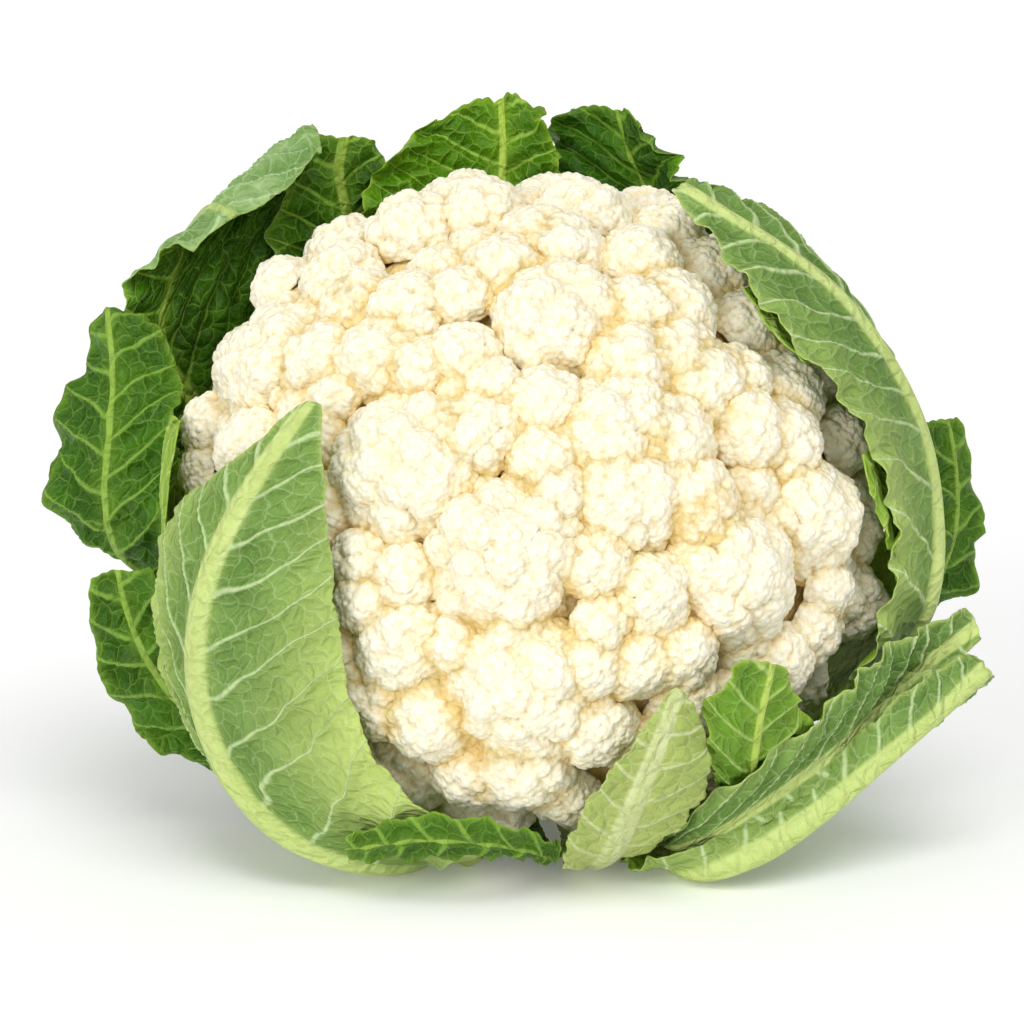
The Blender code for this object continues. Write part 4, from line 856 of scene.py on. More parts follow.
@dataclass
class LeafPiece:
    """A leaf's finished piece, grown from the sheet that the CAD source has for it."""

    leaf: Leaf
    points: np.ndarray
    seed: int
    finishes: dict

    # Where in the noise the left edge, the right one and the tip are cut.
    EDGES = (11.0, 47.0, 83.0)
    # The widest share of rows that the columns are counted for, in per cent, and the fewest.
    WIDEST = 85
    FEWEST = 8
    # From which share of the length on the blade may be wider than the CAD's.
    WIDER_FROM = 0.35
    # How far the right side's waves and veins are out of step with the left side's.
    RIGHT_WAVE = 1.7
    LEFT_VEIN = 0.37
    # How a side vein climbs: straight on, and bending up.
    CLIMB = (0.62, 0.0045)
    # The second order of ruffles, by the first: height and distance from one to the next.
    SECOND_WAVE = (0.4, 0.42)
    # Ruffles are full where the blade is this wide, and begin at this share of the length.
    FULL_WIDTH = 14.0
    FREE_FROM = 0.3
    # The lumps between the veins: height, cell and seed of each order.
    LUMPS = ((0.8, 6.5, 8), (0.5, 3.4, 9), (0.2, 1.8, 10))
    # Half the width of the valley that a side vein lies in, and of its ridge, whose height is
    # the third number.
    VALLEY = (2.4, 0.8, 0.3)
    # How high the inner face lies over the floor at least.
    OVER_FLOOR = 0.25

    @property
    def growth(self) -> Growth:
        """How this leaf's blade has grown."""
        return GROWTH.get(self.leaf.name, Growth())

    def grown(self) -> tuple[np.ndarray, np.ndarray, np.ndarray, np.ndarray]:
        """Reads the sheet finely and gives its edge teeth.

        Returns:
            The points as rows and columns, the distance across from the rib, the distance
            along it, and the distance in from the edge.
        """
        leaf, growth, middle = self.leaf, self.growth, self.leaf.columns + 2
        rows, columns, _ = self.points.shape
        length = run_of(self.points[:, middle])[-1]
        count = int(length / leaf.GRAIN) + 2
        at = np.linspace(0, rows - 1, count)
        flat = hermite(np.arange(rows), self.points.reshape(rows, -1), at)
        lines = flat.reshape(count, columns, 3)
        along = run_of(lines[:, middle])
        sides = []
        for line in lines:
            run = run_of(line)
            sides.append((run[middle], run[-1] - run[middle]))
        left, right = np.array(sides).T
        left_count, right_count = (
            max(int(np.percentile(side, self.WIDEST) / leaf.GRAIN), self.FEWEST)
            for side in (left, right))
        cuts = [self.cut(along, edge + self.seed) for edge in self.EDGES[:2]]
        points, across = [], []
        for i, line in enumerate(lines):
            run = run_of(line)
            run = run - run[middle]
            low = np.linspace(0, 1, left_count + 1)[1:][::-1]
            high = np.linspace(0, 1, right_count + 1)
            narrow = min(1.0, 0.5 * min(left[i], right[i]) / 4.0)
            more = growth.wider if along[i] > self.WIDER_FROM * length else (0.0, 0.0)
            low = -low * (left[i] + narrow * (more[0] - cuts[0][i]) * low**5)
            high = high * (right[i] + narrow * (more[1] - cuts[1][i]) * high**5)
            where = np.concatenate([low, high])
            inside = np.clip(where, run[0], run[-1])
            past = np.where(where < 0, 1, 0)[:, None] * unit(line[1] - line[0]) \
                + np.where(where > 0, 1, 0)[:, None] * unit(line[-1] - line[-2])
            points.append(hermite(run, line, inside) + (where - inside)[:, None] * past)
            across.append(where)
        points, across = np.array(points), np.array(across)
        tip = self.cut(across[-1], self.EDGES[2] + self.seed)
        fade = np.clip((along / along[-1] - 0.8) / 0.2, 0, 1) ** 2
        back = fade[:, None] * tip[None, :] * (count - 1) / along[-1]
        where = np.clip(np.arange(count)[:, None] - back, 0, count - 1)
        below = np.minimum(where.astype(int), count - 2)
        f = (where - below)[..., None]
        columns_at = np.arange(points.shape[1])[None, :]
        points = points[below, columns_at] * (1 - f) + points[below + 1, columns_at] * f
        edge = np.minimum(across - across[:, :1], across[:, -1:] - across)
        edge = np.minimum(edge, (along[-1] - along)[:, None])
        return points, across, along, edge

    def cut(self, run: np.ndarray, offset: float) -> np.ndarray:
        """How deep the edge is cut in at each place along it."""
        growth = self.growth
        spot = np.stack([run + 40.0 * offset, np.full_like(run, offset)], axis=-1)
        jitter = 2.5 * drift(spot, 9.0, 5)
        depth, pitch = growth.teeth
        vary = 0.65 + 0.35 * drift(spot, 7.0, 6)
        teeth = depth * vary * (1 - np.abs(np.sin(math.pi * (run + jitter) / pitch)))
        depth, pitch = growth.lobes
        lobes = depth * (0.5 + 0.5 * np.sin(2 * math.pi * (run + 2 * jitter) / pitch)) ** 2
        return teeth + lobes

    def veins(self, across: np.ndarray, along: np.ndarray) -> np.ndarray:
        """The vein cycle: side veins run where it is a whole number."""
        side = np.abs(across)
        climb = self.CLIMB[0] * side + self.CLIMB[1] * side**2
        spot = np.stack([across, along[:, None] + 0 * across], axis=-1)
        sway = 0.2 * drift(spot, 16.0, self.seed + 3) + 0.08 * drift(spot, 6.0, self.seed + 4)
        step = self.growth.vein_step
        return (along[:, None] - climb) / step + sway + np.where(across < 0, self.LEFT_VEIN, 0.0)

    def build(self) -> bpy.types.Object:
        """Makes the leaf's mesh, gives it its attributes and its two skins."""
        leaf, growth = self.leaf, self.growth
        points, across, along, edge = self.grown()
        rows, columns = across.shape
        s = (along / along[-1])[:, None]
        normals = sheet_normals(points)
        for _ in range(3):
            normals = unit(relaxed(normals))
        side_length = np.where(across < 0, -across[:, :1], across[:, -1:])
        share = np.abs(across) / np.maximum(side_length, 1e-6)
        ruffle = self.ruffle(across, along, side_length, share)

        width, height = leaf.rib_size(s[:, 0])
        reach = growth.rib_share * width[:, None] / 2
        half = np.minimum(reach, 0.9 * side_length)
        rib_share = np.abs(across) / np.maximum(half, 0.2)
        least = np.minimum(reach, np.minimum(-across[:, :1], across[:, -1:]))
        hump = np.clip(1 - rib_share**2, 0, 1) ** 0.7 * np.minimum(height[:, None], 0.75 * least)
        phase = self.veins(across, along)
        off_vein = np.abs((phase + 0.5) % 1 - 0.5) * growth.vein_step
        blade = np.clip(rib_share - 1, 0, 1) * np.clip(edge / 3, 0, 1) * np.clip(s / 0.25, 0, 1)
        spot = np.stack([across, along[:, None] + 0 * across], axis=-1)
        lumps = sum(rise * drift(spot, cell, self.seed + key) for rise, cell, key in self.LUMPS)
        valley, crest, ridge_height = self.VALLEY
        between = 1 - np.exp(-(off_vein / valley) ** 2)
        puff = growth.pucker * blade * (between + 0.6 * lumps)
        ridge = ridge_height * blade * np.exp(-(off_vein / crest) ** 2)
        inner = points + normals * (ruffle + 0.5 * growth.pucker * blade - puff)[..., None]
        skin = leaf.EDGE + (leaf.BLADE - leaf.EDGE) * np.clip(edge / 4, 0, 1)
        outer = inner + normals * (skin + hump + ridge)[..., None]
        outer[..., 2] = np.maximum(outer[..., 2], 0.0)
        inner[..., 2] = np.maximum(inner[..., 2], self.OVER_FLOOR)

        pale = np.clip(1 - (s - growth.pale_base * 0.55) / max(growth.pale_base, 0.05), 0, 1)
        warm = np.where(across < 0, *growth.warm) * share**1.6 * np.clip(2.8 - 2.8 * s, 0, 1)
        pale = np.maximum(pale, warm)
        place = np.stack([across, along[:, None] + 0 * across, edge], axis=-1)
        veins = np.stack([phase, rib_share, pale + 0 * across], axis=-1)
        return self.shell(inner, outer, place, veins)

    def ruffle(self, across: np.ndarray, along: np.ndarray, side_length: np.ndarray,
               share: np.ndarray) -> np.ndarray:
        """How far the ruffles swing at each point: in full at the edge, not at all at the rib.

        Args:
            across: The distance across from the rib.
            along: The distance along it.
            side_length: How wide each point's side of the blade is there.
            share: How much of that width lies between the rib and the point.

        Returns:
            The swing in millimetres.
        """
        amplitude, pitch = self.growth.frill
        rise, shorter = self.SECOND_WAVE
        spot = np.stack([along[:, None] + 0 * across, np.where(across < 0, 0.0, 90.0)], axis=-1)
        sway = 3.0 * drift(spot, 14.0, self.seed)
        step = np.where(across < 0, 0, self.RIGHT_WAVE)
        wave = np.sin(2 * math.pi * (along[:, None] + sway) / pitch + step)
        wave = wave + rise * np.sin(2 * math.pi * (along[:, None] + 1.5 * sway) / (shorter * pitch))
        wide = np.clip(side_length / self.FULL_WIDTH, 0.0, 1.0)
        free = np.clip(((along / along[-1])[:, None] - self.FREE_FROM) / 0.2, 0.0, 1.0)
        return amplitude * wave * share**4 * wide * free

    def shell(self, inner: np.ndarray, outer: np.ndarray, place: np.ndarray,
              veins: np.ndarray) -> bpy.types.Object:
        """Turns the two faces into one closed mesh.

        Args:
            inner: The inner face's points, as rows and columns.
            outer: The outer face's points.
            place: The place on the leaf that each point has.
            veins: The vein cycle, the rib's share and the growth at each point.

        Returns:
            The finished object.
        """
        rows, columns, _ = inner.shape
        shape = bmesh.new()
        bmesh.ops.create_grid(shape, x_segments=columns - 1, y_segments=rows - 1, size=1.0)
        spot = shape.verts.layers.int.new("spot")
        for vertex in shape.verts:
            column = round((vertex.co.x + 1) / 2 * (columns - 1))
            row = round((vertex.co.y + 1) / 2 * (rows - 1))
            vertex[spot] = row * columns + column
        first = len(shape.verts)
        bmesh.ops.solidify(shape, geom=shape.faces[:], thickness=0.01)
        inner_flat, outer_flat = inner.reshape(-1, 3) * MM, outer.reshape(-1, 3) * MM
        shape.verts.index_update()
        for vertex in shape.verts:
            source = inner_flat if vertex.index < first else outer_flat
            vertex.co = source[vertex[spot]]
        for face in shape.faces:
            face.material_index = int(any(vertex.index >= first for vertex in face.verts))
        bmesh.ops.recalc_face_normals(shape, faces=shape.faces[:])
        mesh = to_mesh(shape, self.leaf.name)
        keys = np.zeros(len(mesh.vertices), dtype=np.int32)
        mesh.attributes["spot"].data.foreach_get("value", keys)
        mesh.attributes.remove(mesh.attributes["spot"])
        store(mesh, "leaf_place", place.reshape(-1, 3)[keys])
        store(mesh, "leaf_veins", veins.reshape(-1, 3)[keys])
        for face in Face:
            mesh.materials.append(self.finishes[self.growth.tone, face])
        return place_piece(f"dressed_{self.leaf.name}", mesh, self.leaf.name)


def to_mesh(shape: bmesh.types.BMesh, name: str) -> bpy.types.Mesh:
    """Writes a shape out as a new mesh with all its faces smooth, and frees it."""
    for face in shape.faces:
        face.smooth = True
    mesh = bpy.data.meshes.new(name)
    shape.to_mesh(mesh)
    shape.free()
    return mesh


def points_of(mesh: bpy.types.Mesh) -> np.ndarray:
    """The mesh's points as rows."""
    places = np.zeros(len(mesh.vertices) * 3)
    mesh.vertices.foreach_get("co", places)
    return places.reshape(-1, 3)


def store(mesh: bpy.types.Mesh, name: str, vectors: np.ndarray) -> None:
    """Stores a named vector on each of the mesh's points."""
    layer = mesh.attributes.new(name, "FLOAT_VECTOR", "POINT")
    layer.data.foreach_set("vector", vectors.ravel())


def move_points(mesh: bpy.types.Mesh, places: np.ndarray, name: str, vectors: np.ndarray) -> None:
    """Moves the mesh's points to places in millimetres, and stores a named vector on each."""
    mesh.vertices.foreach_set("co", (places * MM).ravel())
    store(mesh, name, vectors)
    mesh.update()


def place_piece(name: str, mesh: bpy.types.Mesh,
                node: str | None = None) -> bpy.types.Object:
    """Puts a piece into the scene on the part's one body.

    Args:
        name: The piece's name.
        mesh: Its mesh, in metres in the part's frame.
        node: The CAD node that it stands for, if any.

    Returns:
        The new object.
    """
    piece = bpy.data.objects.new(name, mesh)
    bpy.context.scene.collection.objects.link(piece)
    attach(piece, "root")
    if node:
        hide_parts(node)
    log.info("%s: %d faces", name, len(mesh.polygons))
    return piece


@dataclass(frozen=True)
class CurdFlesh:
    """Cauliflower curd: tight clusters of unopened buds, matte, cream-white and see-through a
    few millimetres deep. Its colour is painted shade, darker and warmer yellow the deeper a
    point lies between florets, lumps and beads."""

    # The buds' tops, then painted shade part-way down their sides, and painted shade deep in the
    # clefts.
    top: str = "#FDF8E8"
    slope_shade: str = "#F7ECCC"
    cleft_shade: str = "#E6CB88"
    # The buds' spacing, in metres.
    bud: float = 0.0018

    def make(self) -> bpy.types.Material:
        """Builds the material."""
        material, tree, shader = start_material("curd_bud_flesh")
        place = add_node(tree, "TexCoord").outputs["Object"]
        # Painted shade: a stored depth between florets, lumps and beads darkens and warms the
        # colour.
        cleft_shade = add_node(tree, "Attribute", attribute_name="curd_cleft_shade").outputs["Vector"]
        depth, beads, _ = add_node(tree, "SeparateXYZ", (cleft_shade,)).outputs
        buds = []
        for size in (self.bud, self.bud / 2):
            links = {"Vector": place, "Scale": 1 / size, "Randomness": 0.85}
            cells = add_node(tree, "TexVoronoi", links)
            bud = add_node(tree, "Math", (cells, cells), operation="MULTIPLY")
            bud = add_node(tree, "Math", (bud, 1.7), operation="MULTIPLY")
            buds.append(add_node(tree, "Math", (1.0, bud), operation="SUBTRACT", use_clamp=True))
        # Painted shade between the buds as well.
        between = add_node(tree, "Math", (1.0, buds[0]), operation="SUBTRACT", use_clamp=True)
        between = add_node(tree, "Math", (between, 0.26), operation="MULTIPLY")
        sunk = add_node(tree, "Math", (depth, between), operation="ADD")
        beads = add_node(tree, "Math", (beads, 0.06), operation="MULTIPLY")
        sunk = add_node(tree, "Math", (sunk, beads), operation="ADD")
        broad = add_node(tree, "TexNoise", {"Vector": place, "Scale": 40.0, "Detail": 3.0})
        broad = add_node(tree, "Math", (broad, 0.5), operation="SUBTRACT")
        broad = add_node(tree, "Math", (broad, 0.16), operation="MULTIPLY")
        sunk = add_node(tree, "Math", (sunk, broad), operation="ADD", use_clamp=True)
        # The ramp paints the shade: bud-top colour where nothing is sunk, the darkest shade where
        # most is.
        ramp = add_node(tree, "ValToRGB", (sunk,))
        ramp.color_ramp.elements[0].position = 0.0
        ramp.color_ramp.elements[0].color = linear(self.top)
        ramp.color_ramp.elements[1].position = 1.0
        ramp.color_ramp.elements[1].color = linear(self.cleft_shade)
        ramp.color_ramp.elements.new(0.45).color = linear(self.slope_shade)
        tree.links.new(ramp.outputs[0], shader.inputs["Base Color"])
        fine = add_node(tree, "Math", (buds[1], 0.25), operation="MULTIPLY")
        height = add_node(tree, "Math", (buds[0], fine), operation="ADD")
        bump = add_node(tree, "Bump", {"Height": height, "Strength": 1.0, "Distance": 0.00035})
        tree.links.new(bump.outputs[0], shader.inputs["Normal"])
        shader.inputs["Roughness"].default_value = 0.62
        shader.inputs["IOR"].default_value = 1.38
        shader.inputs["Subsurface Weight"].default_value = 0.25
        shader.inputs["Subsurface Radius"].default_value = (1.0, 0.7, 0.35)
        shader.inputs["Subsurface Scale"].default_value = 0.0012
        return material


@dataclass(frozen=True)
class StalkFlesh:
    """The stalk's skin and cut end: firm pale green flesh, moist, with a paler woody ring."""

    skin: str = "#C3D08C"
    shade: str = "#A9BD6E"
    cut: str = "#E4E2B8"

    def make(self) -> bpy.types.Material:
        """Builds the material."""
        material, tree, shader = start_material("stalk_firm_flesh")
        place = add_node(tree, "TexCoord").outputs["Object"]
        where = add_node(tree, "Attribute", attribute_name="stalk_place").outputs["Vector"]
        round_the_axis, height, cut_share = add_node(tree, "SeparateXYZ", (where,)).outputs
        height = add_node(tree, "Math", (height, 0.06), operation="MULTIPLY")
        lengthways = add_node(tree, "CombineXYZ", (round_the_axis, height))
        strands = add_node(tree, "TexNoise", {"Vector": lengthways, "Scale": 0.8, "Detail": 4.0},
                           noise_dimensions="2D")
        colour = add_node(tree, "Mix", {0: strands, 6: linear(self.skin), 7: linear(self.shade)},
                          data_type="RGBA").outputs[2]
        colour = add_node(tree, "Mix", {0: cut_share, 6: colour, 7: linear(self.cut)},
                          data_type="RGBA").outputs[2]
        tree.links.new(colour, shader.inputs["Base Color"])
        mottle = add_node(tree, "TexNoise", {"Vector": place, "Scale": 90.0, "Detail": 4.0})
        mottle = add_node(tree, "Math", (mottle, 0.6), operation="MULTIPLY")
        height = add_node(tree, "Math", (strands, mottle), operation="ADD")
        bump = add_node(tree, "Bump", {"Height": height, "Strength": 0.4, "Distance": 0.0005})
        tree.links.new(bump.outputs[0], shader.inputs["Normal"])
        shader.inputs["Roughness"].default_value = 0.45
        shader.inputs["Subsurface Weight"].default_value = 0.25
        shader.inputs["Subsurface Radius"].default_value = (1.0, 0.9, 0.4)
        shader.inputs["Subsurface Scale"].default_value = 0.002
        return material


@dataclass
class Curd:
    """The curd: domed florets, each covered in lumps, and the lumps in beads of buds."""

    # How deep a floret's middle lies, by its radius, and how near two may be, by both radii:
    # for the florets on the curd's outline and for the deep ones in the gaps.
    SEAT = (0.72, 0.8)
    GAP_SEAT = (1.25, 0.6)
    TRIES = 900
    # The most triangles that a piece may have, so that an export keeps them all.
    MOST_TRIANGLES = 190_000

    fill_radii: tuple[float, ...] = (14.0, 11.0)
    gap_radius: float = 8.0
    fill_lowest: float = -0.3
    # How far apart the mesh's points are where the camera and the light reach, and elsewhere.
    seen_grain: float = 0.46
    hidden_grain: float = 1.1
    # Size, height and roundness of the knobs on the lumps, and of the beads on the knobs.
    knob: tuple[float, float, float] = (1.9, 0.6, 0.7)
    bead: tuple[float, float, float] = (0.95, 0.36, 0.85)
    # How softly neighbouring florets grow into each other, and how uneven they are.
    melt: float = 1.1
    uneven: float = 0.11
    core_inset: float = 9.0
    flesh: CurdFlesh = field(default_factory=CurdFlesh)
    templates: dict = field(default_factory=dict)

    def florets(self, fill_radii: tuple[float, ...]) -> list[tuple[np.ndarray, float, np.ndarray]]:
        """Where the florets are.

        Args:
            fill_radii: Radii of the florets that fill in where none was listed.

        Returns:
            Centre, radius and outward direction of each, in the head's own axes.
        """
        florets = []
        for x, y, radius in FLORETS:
            place, normal = HEAD.on_curd(x, y)
            florets.append((place - self.SEAT[0] * radius * normal, radius, normal))
        golden = math.pi * GOLDEN
        for radius in fill_radii:
            sink, apart = self.SEAT if radius > self.gap_radius else self.GAP_SEAT
            for i in range(self.TRIES):
                height = 1 - (1 - self.fill_lowest) * (i + 0.5) / self.TRIES
                ring = math.sqrt(1 - height**2)
                spot = np.array([ring * math.cos(i * golden), ring * math.sin(i * golden), height])
                depth = HEAD.curd_height if height > 0 else HEAD.curd_underside * 1.6
                size = np.array([HEAD.curd_radius, HEAD.curd_radius, depth])
                normal = unit(spot / size)
                centre = spot * size - sink * radius * normal
                if all(np.linalg.norm(centre - other) > apart * (radius + near)
                       for other, near, _ in florets):
                    florets.append((centre, radius, normal))
        return florets

    def template(self, cuts: int) -> bpy.types.Mesh:
        """A ball made of an evenly divided cube, cut off behind, with +Z outward."""
        if cuts not in self.templates:
            shape = bmesh.new()
            bmesh.ops.create_cube(shape, size=2.0)
            bmesh.ops.subdivide_edges(shape, edges=shape.edges[:], cuts=cuts - 1,
                                      use_grid_fill=True)
            for vertex in shape.verts:
                vertex.co = Vector([math.tan(c * math.pi / 4) for c in vertex.co]).normalized()
            behind = [vertex for vertex in shape.verts if vertex.co.z < 0]
            bmesh.ops.delete(shape, geom=behind, context="VERTS")
            rim = [edge for edge in shape.edges if edge.is_boundary]
            bmesh.ops.holes_fill(shape, edges=rim, sides=0)
            bmesh.ops.recalc_face_normals(shape, faces=shape.faces[:])
            self.templates[cuts] = to_mesh(shape, f"ball_{cuts}")
        return self.templates[cuts]

    def levels(self, radius: float, fine: bool) -> list[tuple[float, float, float]]:
        """Size, height and roundness of each order of bumps on a floret, the largest first."""
        size = max(0.25 * radius, 3.4)
        lumps = [(size, 0.5 * size, 0.7)]
        return lumps + [self.knob] + ([self.bead] if fine else [])

    def shaped(self, directions: np.ndarray, centre: np.ndarray, radius: float, seed: int,
               fine: bool) -> tuple[np.ndarray, np.ndarray, np.ndarray]:
        """The floret's surface.

        Args:
            directions: Unit vectors from its centre.
            centre: Its centre, in the part's frame.
            radius: Its radius.
            seed: Picks its pattern.
            fine: Whether it has its beads.

        Returns:
            The points, how deep they lie between the lumps, and between the beads; both depths
            paint shade on the flesh.
        """
        levels = self.levels(radius, fine)
        sunk = radius - sum(height for _, height, _ in levels) * 0.8
        trees = []
        for number, (size, height, roundness) in enumerate(levels):
            count = max(int(3.8 * radius**2 / size**2), 12)
            random = np.random.default_rng(seed * 10 + number)
            spots = unit(golden_points(count, seed * 1.3 + number)
                         + random.normal(0, 0.28 * size / radius, (count, 3)))
            seats = spots * self.rise(spots, sunk, trees)[0][:, None]
            tree = KDTree(count)
            for i, seat in enumerate(seats):
                tree.insert(seat, i)
            tree.balance()
            trees.append((tree, size * random.uniform(0.9, 1.2, count), height, roundness))
        reach, shares = self.rise(directions, sunk, trees)
        waver = 1 + self.uneven * drift(centre + directions * radius, 10.0, 31)
        order = shares[:-1] if fine else shares
        # Painted shade masks: how deep each point lies between the lumps, and between the beads.
        lumps = 0.5 * (1 - np.prod([0.4 + 0.6 * share for share in order], axis=0))
        beads = 1 - shares[-1] if fine else 0 * lumps
        return centre + directions * (reach * waver)[:, None], lumps, beads

    def rise(self, directions: np.ndarray, sunk: float, levels: list) -> tuple[np.ndarray, list]:
        """How far the bumps laid so far reach in each direction, and each order's share."""
        reach, shares = np.full(len(directions), sunk), []
        for level in levels:
            shares.append(self.nearest(directions * reach[:, None], level))
            reach = reach + level[2] * shares[-1]
        return reach, shares

    @staticmethod
    def nearest(points: np.ndarray, level: tuple) -> np.ndarray:
        """How high each point stands on the round bump whose seat is nearest, from 0 to 1."""
        tree, sizes, _, roundness = level
        found = [tree.find(point)[1:] for point in points]
        which, away = (np.array(part) for part in zip(*found))
        return np.clip(1 - (away / (1.05 * sizes[which])) ** 2, 0, 1) ** roundness

    def build(self) -> list[bpy.types.Object]:
        """Makes the curd's pieces, each with fewer triangles than an export keeps."""
        material = self.flesh.make()
        florets = self.florets((*self.fill_radii, self.gap_radius))
        centres = np.array([HEAD.to_world(f[0]) for f in florets])
        radii = np.array([f[1] for f in florets])
        toward = HEAD.view[2]
        batches, batch, weight = [], [], 0
        for index, (_, radius, normal) in enumerate(florets):
            outward = normal @ HEAD.axes
            seen = outward @ toward > -0.25 or outward[2] > 0.5
            grain = self.seen_grain if seen else self.hidden_grain
            cuts = max(int(radius * math.pi / 2 / grain), 8)
            mesh = self.template(cuts)
            if weight + 2 * len(mesh.polygons) > self.MOST_TRIANGLES:
                batches.append(batch)
                batch, weight = [], 0
            batch.append((index, mesh, outward, seen))
            weight += 2 * len(mesh.polygons)
        batches.append(batch)
        pieces = [self.piece(number, batch, centres, radii, material)
                  for number, batch in enumerate(batches)]
        return [*pieces, self.core(material)]

    def core(self, material: bpy.types.Material) -> bpy.types.Object:
        """The flesh that shows at the bottom of the clefts, painted with a deep shade."""
        shape = bmesh.new()
        bmesh.ops.create_icosphere(shape, subdivisions=6, radius=1.0)
        mesh = to_mesh(shape, "curd_core")
        local = points_of(mesh)
        depth = np.where(local[:, 2] > 0, HEAD.curd_height, HEAD.curd_underside)
        size = np.stack([depth * 0 + HEAD.curd_radius, depth * 0 + HEAD.curd_radius, depth], axis=1)
        place = local * (size - self.core_inset + 1.2 * drift(local * 80, 4.0, 41)[:, None])
        # Painted shade: the core's stored depth is set deep, so its colour lies near the darkest
        # shade.
        move_points(mesh, HEAD.to_world(place), "curd_cleft_shade", np.tile([0.8, 0.5, 0.0], len(place)))
        mesh.materials.append(material)
        return place_piece("curd_core", mesh)

    def piece(self, number: int, batch: list, centres: np.ndarray, radii: np.ndarray,
              material: bpy.types.Material) -> bpy.types.Object:
        """One piece of the curd.

        Args:
            number: The piece's number, from 0.
            batch: Its florets: index, ball, outward direction, and whether it is seen.
            centres: The middles of all the curd's florets, in the part's frame.
            radii: Their radii.
            material: The curd's flesh.

        Returns:
            The piece.
        """
        shape = bmesh.new()
        for _, mesh, _, _ in batch:
            shape.from_mesh(mesh)
        merged = to_mesh(shape, f"curd_{number}")
        places, clefts, beads = [], [], []
        for index, mesh, outward, seen in batch:
            centre, radius = centres[index], radii[index]
            side = unit(np.cross(outward, [0.3, 0.5, 0.8]))
            basis = np.stack([side, np.cross(outward, side), outward])
            directions = unit(points_of(mesh)) @ basis
            points, cleft_shade, bead = self.shaped(directions, centre, radius, index + 1, seen)
            away = np.linalg.norm(centres - centre, axis=1)
            near = [j for j in np.nonzero(away < radius + radii + 4)[0] if j != index]
            join = np.zeros(len(points))
            for other in near:
                gap = np.linalg.norm(points - centres[other], axis=1) - radii[other] + 1.2
                join = join + np.exp(-np.maximum(gap, 0) / self.melt)
                # Painted shade: the colour darkens and warms where the floret meets a neighbour.
                cleft_shade = cleft_shade + (1 - cleft_shade) * 0.95 * np.clip(1 - gap / 4.5, 0, 1) ** 1.5
            points = points + directions * (self.melt * np.log(1 + join))[:, None]
            places.append(points)
            clefts.append(cleft_shade)
            beads.append(bead)
        clefts, beads = np.concatenate(clefts), np.concatenate(beads)
        # The depths between lumps, between beads and at the joins are stored as painted shade for
        # the flesh.
        depths = np.stack([clefts, beads, 0 * beads], axis=1)
        move_points(merged, np.concatenate(places), "curd_cleft_shade", depths)
        merged.materials.append(material)
        node = None if number else "curd"
        return place_piece(f"curd_florets_{number}", merged, node)


